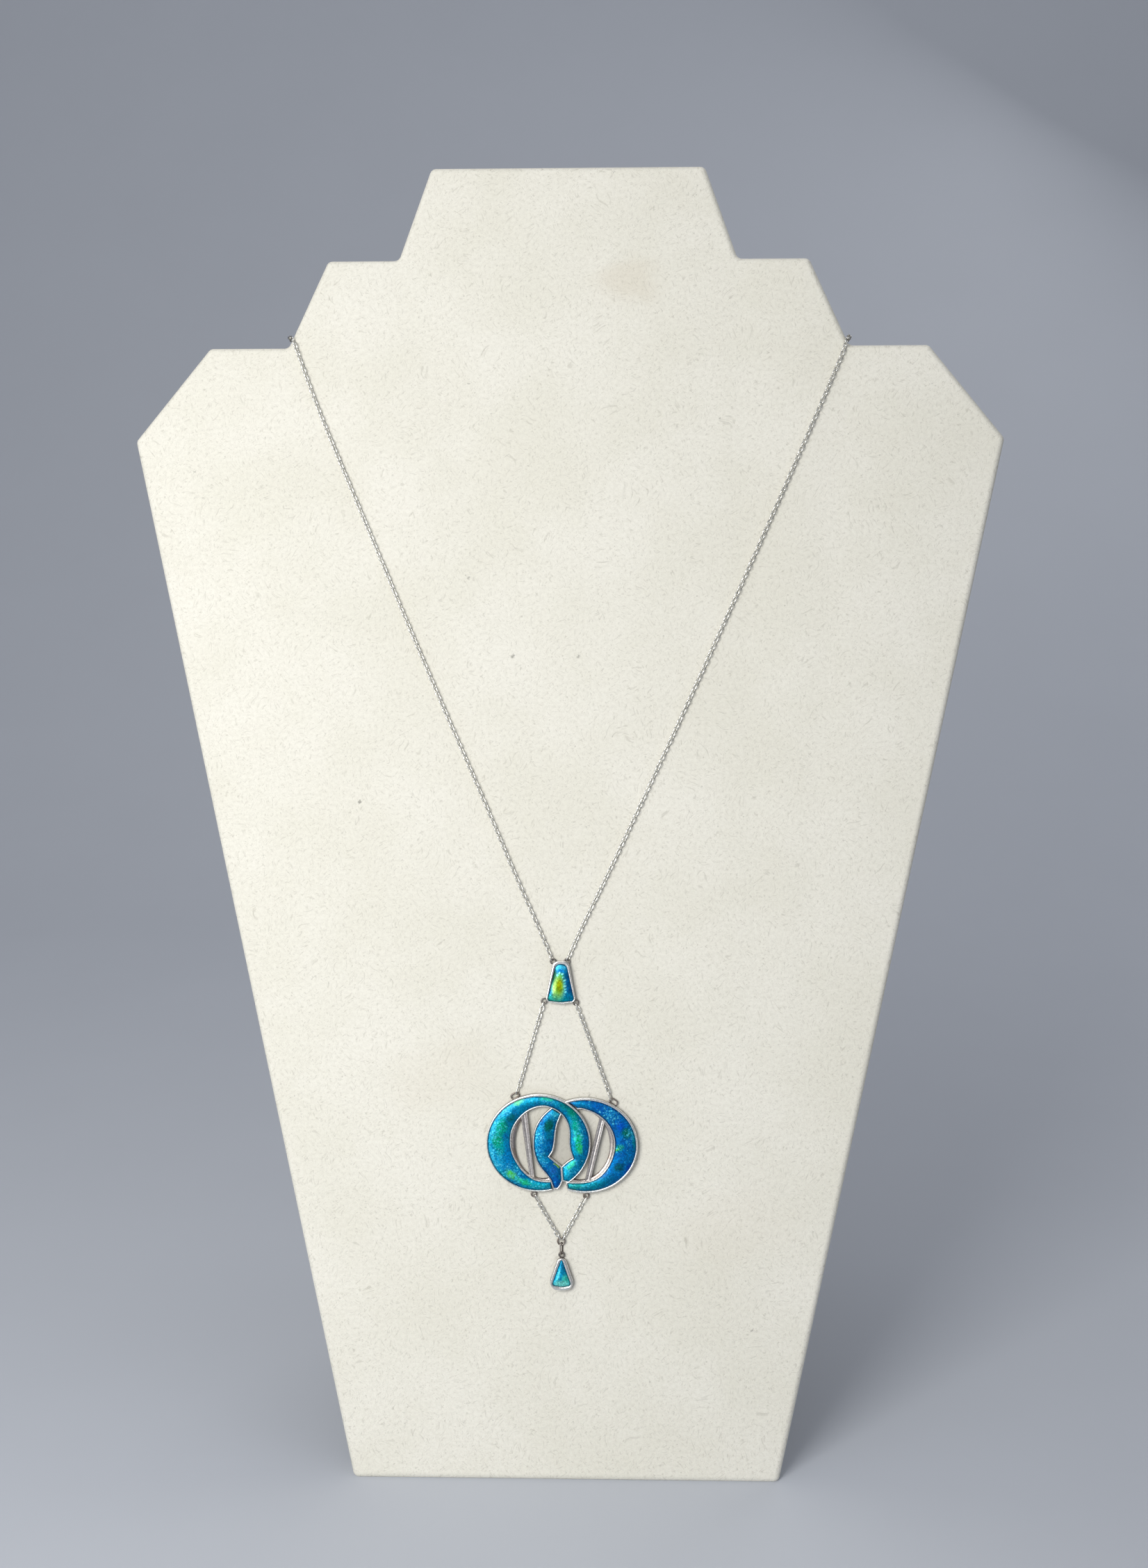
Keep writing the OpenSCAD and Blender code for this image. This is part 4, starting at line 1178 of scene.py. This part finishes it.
@dataclass
class DisplayBoard:
    """Velvet-covered board with rolled edges, its lining and the prop that holds it up."""

    arc_steps: int = 8
    roll_steps: int = 10
    # Lining: thickness, how far it sinks into the board, and how far it stays inside the outline
    lining_t: float = 0.06
    lining_sunk: float = 0.05
    hem: float = 7.0
    hem_corner: float = 3.0
    flap_w: float = 58.0
    flap_h: float = 30.0
    # How far the flap reaches below the hinge line
    flap_low: float = 1.0
    prop_w: float = 52.0
    prop_foot_w: float = 44.0
    prop_edge: float = 0.5
    crease: float = 60.0

    def outline(self) -> list[Row]:
        """Corners of the whole outline, anticlockwise: x, y, rounding."""
        left = [(-w, h) for w, h in reversed(BOARD_HALF)]
        return [(x, y, CORNER_R) for x, y in [*BOARD_HALF, *left]]

    def build_board(self, finish: Finish) -> Piece:
        """Builds the board with its velvet rolled over every edge.

        Args:
            finish: the velvet.

        Returns:
            The piece.
        """
        angles = [math.radians(90 * i / self.roll_steps) for i in range(self.roll_steps + 1)]
        # How far the outline is drawn in, and how far it is below the flat face, round the roll
        roll = [(ROLL_R * (1 - math.cos(a)), ROLL_R * (1 - math.sin(a))) for a in angles]
        stages = [(drawn, sunk - BOARD_T) for drawn, sunk in reversed(roll)]
        stages += [(drawn, -sunk) for drawn, sunk in roll]
        outline, shell = self.outline(), Shell()
        shell.skin([[raised(p, z) for p in rounded(outline, self.arc_steps, drawn)] for drawn, z in stages])
        dressed = (finish, "velvet", "display_board")
        return shell.piece("velvet_board", *dressed, crease=self.crease, grounded=True)

    def build_lining(self, finish: Finish) -> Piece:
        """Builds the thin cloth lining glued over the velvet's turned hem on the back.

        Args:
            finish: the cloth.

        Returns:
            The piece.
        """
        inner = rounded(inset(self.outline(), self.hem, self.hem_corner), self.arc_steps)
        shell = Shell()
        shell.skin([[raised(p, z - BOARD_T) for p in inner] for z in (-self.lining_t, self.lining_sunk)])
        return shell.piece("board_lining", finish, "backing")

    def build_prop(self, finish: Finish) -> Piece:
        """Builds the flap glued to the back and the prop that stands out from its lower edge.

        Args:
            finish: the cloth.

        Returns:
            The piece.
        """
        t, slope = FACE.prop_t, math.radians(FACE.prop_slope)
        hinge_y, hinge_z = FACE.hinge
        # The leg is longer than it needs to be, and the floor cuts its foot
        leg = hinge_z / math.cos(slope) + 2 * t
        low = FACE.hinge_h - self.flap_low
        behind = FACE.matrix() @ Matrix.Translation((0, 0, -BOARD_T - FACE.node_gap - t))
        sloping = (
            Matrix.Scale(MM, 4)
            @ Matrix.Translation((0, hinge_y - FACE.origin_y, hinge_z))
            @ Matrix.Rotation(math.pi / 2 + slope, 4, "X")
            @ Matrix.Translation((0, 0, -t))
        )
        bm = bmesh.new()
        self.add_plate(bm, (self.flap_w, low), (self.flap_w, low + self.flap_h), behind)
        self.add_plate(bm, (self.prop_foot_w, -leg), (self.prop_w, 0), sloping)
        mesh = bpy.data.meshes.new("easel_prop")
        bm.to_mesh(mesh)
        bm.free()
        return deliver(mesh, finish, "backing", "easel_strut", self.crease, grounded=True)

    def add_plate(self, bm: bmesh.types.BMesh, foot: Pair, head: Pair, place: Matrix) -> None:
        """Adds a plate with eased edges, which may taper.

        Args:
            bm: mesh that takes it.
            foot: width and height of its lower end.
            head: width and height of its upper end.
            place: matrix to the world.
        """
        own = bmesh.new()
        (foot_w, low), (head_w, high) = foot, head
        ends = [(-foot_w / 2, low), (foot_w / 2, low), (head_w / 2, high), (-head_w / 2, high)]
        back, front = ([own.verts.new((x, y, z)) for x, y in ends] for z in (0, FACE.prop_t))
        own.faces.new(reversed(back))
        own.faces.new(front)
        for i in range(len(ends)):
            k = (i + 1) % len(ends)
            own.faces.new((back[i], back[k], front[k], front[i]))
        bmesh.ops.bevel(
            own, geom=own.edges[:], offset=self.prop_edge, segments=3, profile=0.5, affect="EDGES",
        )
        own.transform(place)
        mesh = bpy.data.meshes.new("plate")
        own.to_mesh(mesh)
        own.free()
        bm.from_mesh(mesh)
        bpy.data.meshes.remove(mesh)

    def build(self) -> list[Piece]:
        """Builds and dresses the board, its lining and its prop."""
        cloth = BackCloth().make()
        return [self.build_board(Velvet().make()), self.build_lining(cloth), self.build_prop(cloth)]


class ChainTree(Tree):
    """Geometry Nodes tree that lays oval links along a path, each a quarter turn from the last."""

    def __init__(self) -> None:
        """Builds the tree once; every chain uses it with its own inputs."""
        super().__init__(bpy.data.node_groups.new("links_along_path", "GeometryNodeTree"))
        self.names: dict[str, str] = {}
        face = self.tree.interface
        face.new_socket("Geometry", in_out="OUTPUT", socket_type="NodeSocketGeometry")
        for name, kind, value in (
            ("Path", "Geometry", None), ("Count", "Int", 10), ("Length", "Float", LINK_L),
            ("Width", "Float", LINK_W), ("Wire", "Float", LINK_WIRE), ("Turns", "Int", 14),
            ("Sides", "Int", 6), ("Looseness", "Float", 0.12), ("Seed", "Int", 7),
            ("Finish", "Material", None),
        ):
            made = face.new_socket(name, in_out="INPUT", socket_type="NodeSocket" + kind)
            if value is not None:
                made.default_value = value
            self.names[name] = made.identifier
        self.given = self.tree.nodes.new("NodeGroupInput").outputs
        self.lay()

    def ring(self, points: Socket, radius: Value) -> Socket:
        """Circle of points."""
        return self.add("GeometryNodeCurvePrimitiveCircle", {"Resolution": points, "Radius": radius})

    def link_shape(self) -> Socket:
        """One oval link: a circle drawn out along x and given its wire.

        Returns:
            The link's mesh.
        """
        i = self.given
        half = 0.5
        radius = self.times(self.minus(i["Width"], i["Wire"]), half)
        straight = self.times(self.minus(i["Length"], i["Width"]), half)
        # A point in the very middle goes to one side too
        along = self.plus(self.part(self.add("GeometryNodeInputPosition"), "X"), 0.0001)
        push = self.add("ShaderNodeCombineXYZ", {"X": self.times(self.math("SIGN", along), straight)})
        circle = self.ring(i["Turns"], radius)
        oval = self.add("GeometryNodeSetPosition", {"Geometry": circle, "Offset": push})
        wire = self.ring(i["Sides"], self.times(i["Wire"], half))
        return self.add("GeometryNodeCurveToMesh", {"Curve": oval, "Profile Curve": wire})

    def lay(self) -> None:
        """Lays the whole tree."""
        i = self.given
        curve = self.add("GeometryNodeMeshToCurve", {"Mesh": i["Path"]})
        even = self.add("GeometryNodeResampleCurve", {"Curve": curve, "Count": i["Count"]})
        outwards = self.add(
            "GeometryNodeInputNamedAttribute", {"Name": "outwards"}, "Attribute", data_type="FLOAT_VECTOR",
        )
        stand = self.add(
            "FunctionNodeAxesToRotation",
            {"Primary Axis": self.add("GeometryNodeInputTangent"), "Secondary Axis": outwards},
            primary_axis="X", secondary_axis="Z",
        )
        loose = self.add("FunctionNodeRandomValue", output=1, data_type="FLOAT")
        ends = {s.identifier: s for s in loose.node.inputs}
        self.put(ends["Min_001"], self.times(i["Looseness"], -1.0))
        self.put(ends["Max_001"], i["Looseness"])
        self.put(ends["Seed"], i["Seed"])
        quarter = self.times(self.math("MODULO", self.add("GeometryNodeInputIndex"), 2.0), math.pi / 2)
        roll = self.plus(quarter, math.pi / 4, loose)
        spin = self.add("FunctionNodeAxisAngleToRotation", {"Axis": (1, 0, 0), "Angle": roll})
        turned = self.add(
            "FunctionNodeRotateRotation", {"Rotation": stand, "Rotate By": spin}, rotation_space="LOCAL",
        )
        places = {"Points": even, "Instance": self.link_shape(), "Rotation": turned}
        links = self.add("GeometryNodeInstanceOnPoints", places)
        real = self.add("GeometryNodeRealizeInstances", {"Geometry": links})
        dressed = self.add("GeometryNodeSetMaterial", {"Geometry": real, "Material": i["Finish"]})
        self.put(self.tree.nodes.new("NodeGroupOutput").inputs["Geometry"], dressed)

    def grow(
        self, name: str, path: Sequence[Vector], outwards: Sequence[Vector], finish: Finish, **inputs: float,
    ) -> bpy.types.Mesh:
        """Lays links along a path and keeps them as a plain mesh.

        Args:
            name: name of the piece.
            path: points of the path on the board's face.
            outwards: direction away from what the chain lies on, for each point.
            finish: its material.
            inputs: the tree's inputs by name.

        Returns:
            The mesh, in metres.
        """
        guide = bpy.data.meshes.new(name + "_path")
        guide.from_pydata(path, [(k, k + 1) for k in range(len(path) - 1)], [])
        layer = guide.attributes.new("outwards", "FLOAT_VECTOR", "POINT")
        for item, direction in zip(layer.data, outwards, strict=True):
            item.vector = direction
        holder = bpy.data.objects.new(name + "_guide", guide)
        bpy.context.scene.collection.objects.link(holder)
        modifier = holder.modifiers.new("links", "NODES")
        modifier.node_group = self.tree
        for key, value in {"Finish": finish, **inputs}.items():
            modifier[self.names[key]] = value
        grown = holder.evaluated_get(bpy.context.evaluated_depsgraph_get())
        mesh = bpy.data.meshes.new_from_object(grown)
        mesh.name = name
        for layer in [a for a in mesh.attributes if a.name == "outwards"]:
            mesh.attributes.remove(layer)
        bpy.data.objects.remove(holder)
        bpy.data.meshes.remove(guide)
        mesh.transform(FACE.matrix())
        return mesh


@dataclass
class NeckChain:
    """The long trace chain: two halves of small oval links, from the connector to the clasp."""

    finish: Finish
    pitch: float = LINK_PITCH
    steps: int = 12
    # Heights of the chain on the board's face and on its back
    front_z: float = WIRE_Z
    back_z: float = -6.7
    # Share of the way sideways and upwards in the direction away from the rolled edge
    sideways: float = 0.6
    upwards: float = 0.8
    crease: float = 180.0
    halves: tuple = ((Side.LEFT, LEFT_ROUTE, 11), (Side.RIGHT, RIGHT_ROUTE, 23))

    def away(self, p: Vector) -> Vector:
        """Direction away from the board, from its face over the rolled edge to its back.

        Args:
            p: point of the chain.

        Returns:
            The direction.
        """
        a = math.pi * min(1.0, max(0.0, (self.front_z - p.z) / (self.front_z - self.back_z)))
        side = math.copysign(math.sin(a), p.x)
        return Vector((side * self.sideways, abs(side) * self.upwards, math.cos(a))).normalized()

    def build(self) -> list[Piece]:
        """Builds and dresses both halves.

        Returns:
            The two pieces.
        """
        tree, made = ChainTree(), []
        for side, route, seed in self.halves:
            path = [Vector(p) for p in smooth_run(route, self.steps)]
            length = sum((b - a).length for a, b in zip(path, path[1:]))
            mesh = tree.grow(
                f"chain_links_{side.value}", path, [self.away(p) for p in path], self.finish,
                Count=round(length / self.pitch) + 1, Seed=seed,
            )
            made.append(deliver(mesh, self.finish, "silver", f"neck_chain_{side.value}", self.crease))
        return made


@dataclass
class Tray:
    """Silver tray with a rounded rim round one cell, and the enamel domed in it.

    The outline and the cell have equally many corners, and the slot is the enamel's.
    """

    name: str
    at: Pair
    outline: Sequence[Row]
    cell: Sequence[Row]
    loops: Sequence[Pair]
    glaze: Enamel
    slot: str
    arc_steps: int = 10
    # Rim: height of its shoulders, rise of its crest over them, and shares of its width
    shoulder: float = RIM_Z - 0.22
    rise: float = 0.27
    shares: Row = (0.04, 0.14, 0.3, 0.5, 0.7, 0.86, 0.96)
    # Middle of the dome, and degrees from ring to ring up it
    dome_at: Pair = (0.0, -0.3)
    dome_step: int = 6
    # Way along the rim that each point stands for in the glaze map
    map_step: float = 0.1

    def build_frame(self) -> Piece:
        """Builds the tray and its loops.

        Returns:
            The piece.
        """
        crest = [(s, self.shoulder + self.rise * math.sqrt(1 - (2 * s - 1) ** 2)) for s in self.shares]
        levels = [(0.0, BACK_Z), (0.0, self.shoulder), *crest, (1.0, self.shoulder), (1.0, FLOOR_Z)]
        outside, inside = (rounded(rows, self.arc_steps) for rows in (self.outline, self.cell))
        edges = list(zip(outside, inside, strict=True))
        shell = Shell(self.at)
        shell.skin([[raised(p.lerp(q, s), z) for p, q in edges] for s, z in levels])
        for x, y in self.loops:
            shell.loop(x, y)
        silver = Silver(f"{self.name}_silver", self.at, dark_z=0.8, bright_z=1.45, rough=0.16)
        return shell.piece(f"{self.name}_tray", silver.make(), "silver", f"{self.name}_frame")

    def build_enamel(self) -> Piece:
        """Builds the domed enamel.

        Returns:
            The piece.
        """
        middle, edge = Vector(self.dome_at), rounded(self.cell, self.arc_steps)
        angles = [math.radians(a) for a in range(0, 90, self.dome_step)]
        levels = [(1.0, FLOOR_Z + CELL_GAP), *((math.cos(a), ENAMEL_Z + DOME * math.sin(a)) for a in angles)]
        rings = [[raised(middle + s * (p - middle), z) for p in edge] for s, z in levels]
        spokes = [((p - middle).length, i * self.map_step) for i, p in enumerate(edge)]
        glaze = [[((1 - s) * length, along) for length, along in spokes] for s, _ in levels]
        shell = Shell(self.at)
        shell.skin(rings, glaze=glaze)
        return shell.piece(f"{self.name}_glaze", self.glaze.make(), self.slot, f"{self.name}_enamel")

    def build(self) -> list[Piece]:
        """Builds and dresses the tray and its enamel."""
        return [self.build_frame(), self.build_enamel()]


@dataclass
class Plaque:
    """Openwork plaque of two linked rings: rims, ledges, slanting bars, loops and three enamels."""

    steps: int = 6
    across: int = 14
    # Cross-sections. Columns: share of the width, height over the shoulder or over the bar's height
    rim_profile: tuple[Row, ...] = (
        (0.0, 0.0), (0.05, 0.1), (0.16, 0.2), (0.32, 0.27), (0.5, 0.29), (0.68, 0.27), (0.84, 0.2),
        (0.95, 0.1), (1.0, 0.0),
    )
    bar_profile: tuple[Row, ...] = (
        (0.0, 0.0), (0.03, 0.12), (0.1, 0.17), (0.17, 0.12), (0.22, -0.04), (0.36, -0.2), (0.5, -0.26),
        (0.64, -0.2), (0.76, -0.05), (0.82, 0.08), (0.9, 0.13), (0.97, 0.08), (1.0, -0.04),
    )
    shoulder: float = 1.42
    # Angles between which the outside rims run, and sections of each
    left_arc: Pair = (285.5, -53.5)
    right_arc: Pair = (113.0, -109.0)
    arc_sections: int = 110
    # How far the limb's rim runs under the ring's
    tuck: float = 0.25
    # Stations at a ring's last end that its inner rim turns back over, and points across that end
    end_back: int = 3
    # Ledges: angles between which they run, sections, points across, least width, hidden edge,
    # rise of the middle and fall of the inner edge
    left_ledge: Pair = (92, 288)
    right_ledge: Pair = (88, -108)
    ledge_sections: int = 60
    ledge_points: int = 8
    ledge_w: float = 0.05
    ledge_under: float = 0.1
    ledge_rise: float = 0.16
    ledge_fall: float = 0.1
    bar_sections: int = 12
    # Share of the crown at the ends of an enamel, full from a millimetre in
    end_crown: float = 0.2

    def __post_init__(self) -> None:
        """Works out the stations of the two rings and of the limb."""
        self.left = self.stations((LEFT_BAND, LEFT_FLARE, LEFT_FOOT), LEFT_ENAMEL)
        self.right = self.stations((RIGHT_BAND,), RIGHT_ENAMEL)
        limb = joined_runs((LIMB, LIMB_FLARE, TAIL), self.steps)
        self.limb = [(Vector(row[2:]), Vector(row[:2])) for row in limb]

    def stations(self, parts: Sequence[Sequence[Row]], e: Row) -> Stations:
        """Stations of a ring whose outer edge lies on an ellipse."""
        return [(on_ellipse(e, angle), Vector((x, y))) for angle, x, y in joined_runs(parts, self.steps)]

    def rim(self, shell: Shell, inner: Sequence[Vector], outer: Sequence[Vector]) -> None:
        """Adds a rim with a rounded top between two lines of points."""
        pairs = zip(inner, outer, strict=True)
        shell.skin([cross_section(p, q, self.rim_profile, self.shoulder) for p, q in pairs])

    def draw_rims(self, shell: Shell) -> None:
        """Adds the rims and the floors under the enamels.

        Args:
            shell: shell that takes them.
        """
        for (start, end), inside, outside in (
            (self.left_arc, LEFT_ENAMEL, LEFT_OUTSIDE), (self.right_arc, RIGHT_ENAMEL, RIGHT_OUTSIDE),
        ):
            arc = [start + (end - start) * k / self.arc_sections for k in range(self.arc_sections + 1)]
            self.rim(shell, [on_ellipse(inside, a) for a in arc], [on_ellipse(outside, a) for a in arc])
        for stations in (self.left, self.right):
            # Along the inner edge, across the last end and back to the outer rim
            outer, inner = stations[-1]
            path = [p for _, p in stations]
            path += [inner.lerp(outer, (t + 1) / self.end_back) for t in range(self.end_back)]
            path += [p for p, _ in reversed(stations[-1 - self.end_back:-1])]
            self.rim(shell, path, beside(path, RIM_W))
        path = [p for _, p in self.limb] + [p for p, _ in reversed(self.limb)]
        # Both ends run under the left ring's inner rim
        path.insert(0, path[0] + (path[0] - path[1]).normalized() * self.tuck)
        path.append(path[-1] + (path[-1] - path[-2]).normalized() * self.tuck)
        self.rim(shell, path, beside(path, RIM_W))
        for stations in (self.left, self.right, self.limb):
            shell.skin([cross_section(outer, inner, ((0, 0), (1, 0)), FLOOR_Z) for outer, inner in stations])

    def ledge(self, shell: Shell, stations: Stations, opening: Row, ends: Pair) -> None:
        """Adds the plain crescent between a ring's inner rim and its opening.

        Args:
            shell: shell that takes it.
            stations: the ring's stations.
            opening: ellipse of the opening.
            ends: angles between which it runs.
        """
        middle = Vector(opening[:2])
        edge = [p - middle for _, p in stations]
        shares = [j / self.ledge_points for j in range(self.ledge_points + 1)]
        profile = [(s, self.ledge_rise * (1 - (2 * s - 1) ** 2) - self.ledge_fall * (1 - s)) for s in shares]
        rings = []
        for k in range(self.ledge_sections + 1):
            inner = on_ellipse(opening, ends[0] + (ends[1] - ends[0]) * k / self.ledge_sections)
            way = (inner - middle).normalized()
            far = max((inner - middle).length + self.ledge_w, reach(edge, way) - self.ledge_under)
            rings.append(cross_section(inner, middle + way * far, profile, LEDGE_Z))
        shell.skin(rings)

    def draw_ledges(self, shell: Shell) -> None:
        """Adds the ledges inside the rings."""
        self.ledge(shell, self.left, LEFT_OPENING, self.left_ledge)
        self.ledge(shell, self.right, RIGHT_OPENING, self.right_ledge)

    def draw_bars(self, shell: Shell) -> None:
        """Adds the slanting bars, with a raised line along each side and a channel between.

        Args:
            shell: shell that takes them.
        """
        shares = [k / self.bar_sections for k in range(self.bar_sections + 1)]
        for corners in (LEFT_BAR, RIGHT_BAR):
            a, b, c, d = (Vector(p) for p in corners)
            shell.skin([cross_section(a.lerp(d, s), b.lerp(c, s), self.bar_profile, BAR_Z) for s in shares])

    def draw_loops(self, shell: Shell) -> None:
        """Adds the soldered loops.

        Args:
            shell: shell that takes them.
        """
        for x, y, way in TOP_LOOPS:
            shell.loop(x, y, way, LONG_LOOP_L, LONG_LOOP_W)
        for x, y in BOTTOM_LOOPS:
            shell.loop(x, y)

    def draw_enamel(self, shell: Shell, stations: Stations) -> None:
        """Adds one enamel, crowned across and lower at its ends, with its distance from the rims.

        Args:
            shell: shell that takes it.
            stations: pairs of outer and inner points.
        """
        middles = [(outer + inner) / 2 for outer, inner in stations]
        runs = list(accumulate(((b - a).length for a, b in zip(middles, middles[1:])), initial=0.0))
        shares = [0.5 - 0.5 * math.cos(math.pi * k / self.across) for k in range(self.across + 1)]
        rings, glaze = [], []
        for (outer, inner), along in zip(stations, runs, strict=True):
            end, width = min(along, runs[-1] - along), (outer - inner).length
            crown = CROWN * min(1.0, self.end_crown + (1 - self.end_crown) * end)
            ring = [raised(outer.lerp(inner, s), ENAMEL_Z + crown * (1 - (2 * s - 1) ** 2)) for s in shares]
            rings.append(ring + [raised(p, FLOOR_Z + CELL_GAP) for p in (inner, outer)])
            glaze.append([(min(s * width, (1 - s) * width, end), along) for s in shares] + [(0.0, along)] * 2)
        shell.skin(rings, glaze=glaze)

    def build(self) -> list[Piece]:
        """Builds and dresses the whole plaque.

        Returns:
            Its pieces.
        """
        made = []
        for name, silver, draw in (
            ("rims", RIM_SILVER, self.draw_rims), ("ledges", LEDGE_SILVER, self.draw_ledges),
            ("bars", BAR_SILVER, self.draw_bars), ("loops", LOOP_SILVER, self.draw_loops),
        ):
            shell = Shell(PLAQUE_AT)
            draw(shell)
            made.append(shell.piece(f"plaque_{name}", silver.make(), "silver", "plaque_frame"))
        for name, stations, glaze, slot in (
            ("left_ring", self.left, LEFT_GLAZE, "enamel_blue"),
            ("right_ring", self.right, RIGHT_GLAZE, "enamel_royal"),
            ("centre_limb", self.limb, LIMB_GLAZE, "enamel_blue"),
        ):
            shell = Shell(PLAQUE_AT)
            self.draw_enamel(shell, stations)
            made.append(shell.piece(f"glaze_{name}", glaze.make(), slot, f"enamel_{name}"))
        return made


@dataclass
class CarriedLinks:
    """The short chains, ring, bail and clasp, which keep their CAD solids and take a finish."""

    chain: Finish
    chains: tuple[str, ...] = ("side_chain_left", "side_chain_right", "lower_chain_left", "lower_chain_right")
    fittings: tuple[str, ...] = ("centre_ring", "drop_bail")
    clasps: tuple[str, ...] = ("clasp",)

    def build(self) -> list[Piece]:
        """Dresses the CAD nodes.

        Returns:
            The nodes' objects.
        """
        made = []
        for names, finish in (
            (self.chains, self.chain), (self.fittings, FITTING_SILVER.make()),
            (self.clasps, CLASP_SILVER.make()),
        ):
            for node in (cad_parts[name] for name in names):
                for index in range(len(node.data.materials)):
                    node.data.materials[index] = finish
                made.append(node)
        return made


@dataclass(frozen=True)
class Lamp:
    """Square soft light: name, place and aim in metres, side, power in watts and colour on a screen."""

    name: str
    at: Row
    aim: Row
    side: float
    watts: float
    tint: Row = (255, 255, 255)

    def build(self) -> None:
        """Makes the light."""
        data = bpy.data.lights.new(self.name, "AREA")
        data.size, data.energy, data.color = self.side, self.watts, srgb(self.tint)[:3]
        obj = bpy.data.objects.new(self.name, data)
        obj.location = self.at
        obj.rotation_euler = (Vector(self.aim) - Vector(self.at)).to_track_quat("-Z", "Y").to_euler()
        obj.visible_camera = False
        bpy.context.scene.collection.objects.link(obj)


@dataclass
class Studio:
    """Plain pale sweep, soft lights and the camera at the photograph's place. Sizes are in metres."""

    lens: float = 50.0
    film_w: float = 36.0
    sees: Pair = (0.01, 20)
    camera_at: Row = (0.0196, -0.516, 0.2874)
    camera_turn: Row = (75.61, 0.42, 1.94)
    lamps: tuple[Lamp, ...] = (
        Lamp("key", (-0.21, -0.44, 0.33), (-0.12, 0, 0.16), 0.26, 1.85, (255, 254, 250)),
        Lamp("front", (-0.5, -1.0, 0.3), (0, 0, 0.12), 1.0, 0.8),
        Lamp("top", (0.0, 0.1, 1.2), (0, -0.02, 0.1), 0.5, 1.5),
        Lamp("behind", (0.36, 0.62, 0.56), (0, 0.02, 0.16), 0.4, 0.9),
    )
    room: Row = (232, 236, 244)
    room_light: float = 0.37
    pale: Row = (196, 200, 208)
    # Scale of the paper's mottling, and its darkest share
    mottle_scale: float = 0.02
    mottle: float = 0.985
    # Sweep: half width, front edge, start and radius of its bend, parts of the bend, top
    sweep_w: float = 3.0
    sweep_front: float = -2.5
    bend_y: float = 0.35
    bend_r: float = 0.5
    bend_parts: int = 15
    sweep_top: float = 3.0

    def build_camera(self) -> None:
        """Makes the camera."""
        data = bpy.data.cameras.new("camera")
        data.lens, data.sensor_width, data.sensor_fit = self.lens, self.film_w, "AUTO"
        data.clip_start, data.clip_end = self.sees
        obj = bpy.data.objects.new("camera", data)
        obj.location = self.camera_at
        obj.rotation_euler = [math.radians(a) for a in self.camera_turn]
        bpy.context.scene.collection.objects.link(obj)
        bpy.context.scene.camera = obj

    def build_sweep(self) -> None:
        """Makes the floor that curves up into a plain wall behind."""
        s = Shade("pale_paper")
        mottled = s.noise(s.face_mm(), self.mottle_scale)
        colour = s.mix(mottled, srgb(self.pale), srgb(self.pale, self.mottle))
        r, wall = self.bend_r, self.bend_y + self.bend_r
        angles = [math.pi / 2 * k / self.bend_parts for k in range(self.bend_parts + 1)]
        bend = [(self.bend_y + r * math.sin(a), r - r * math.cos(a)) for a in angles]
        profile = [(self.sweep_front, 0.0), *bend, (wall, self.sweep_top)]
        points = [(x, y, z) for y, z in profile for x in (-self.sweep_w, self.sweep_w)]
        faces = [(2 * k, 2 * k + 1, 2 * k + 3, 2 * k + 2) for k in range(len(profile) - 1)]
        mesh = bpy.data.meshes.new("sweep")
        mesh.from_pydata(points, [], faces)
        mesh.shade_smooth()
        mesh.materials.append(s.finished(base_color=colour, roughness=0.9, specular_ior_level=0.15))
        obj = bpy.data.objects.new("sweep", mesh)
        bpy.context.scene.collection.objects.link(obj)

    def build(self) -> None:
        """Makes the camera, sweep, lights and world."""
        self.build_camera()
        self.build_sweep()
        for lamp in self.lamps:
            lamp.build()
        world = bpy.data.worlds.new("soft_room")
        world.use_nodes = True
        sky = world.node_tree.nodes["Background"].inputs
        sky["Color"].default_value, sky["Strength"].default_value = srgb(self.room), self.room_light
        bpy.context.scene.world = world
        bpy.context.scene.view_settings.view_transform = "Standard"


def main() -> None:
    """Builds the studio and every sub-assembly in order, and reports their pieces."""
    logging.basicConfig(level=logging.INFO, format="%(name)s: %(message)s")
    Studio().build()
    chain = CHAIN_SILVER.make()
    for assembly in (
        DisplayBoard(),
        NeckChain(chain),
        Tray(
            "connector", CONNECTOR_AT, CONNECTOR_OUTLINE, CONNECTOR_CELL, CONNECTOR_LOOPS,
            CONNECTOR_GLAZE, "enamel_teal",
        ),
        Plaque(),
        Tray("drop", DROP_AT, DROP_OUTLINE, DROP_CELL, DROP_LOOPS, DROP_GLAZE, "enamel_sky"),
        CarriedLinks(chain),
    ):
        for piece in assembly.build():
            LOG.info("%s: %d faces in %s", piece.name, len(piece.data.polygons), piece.data.materials[0].name)


if __name__ == "__main__":
    main()
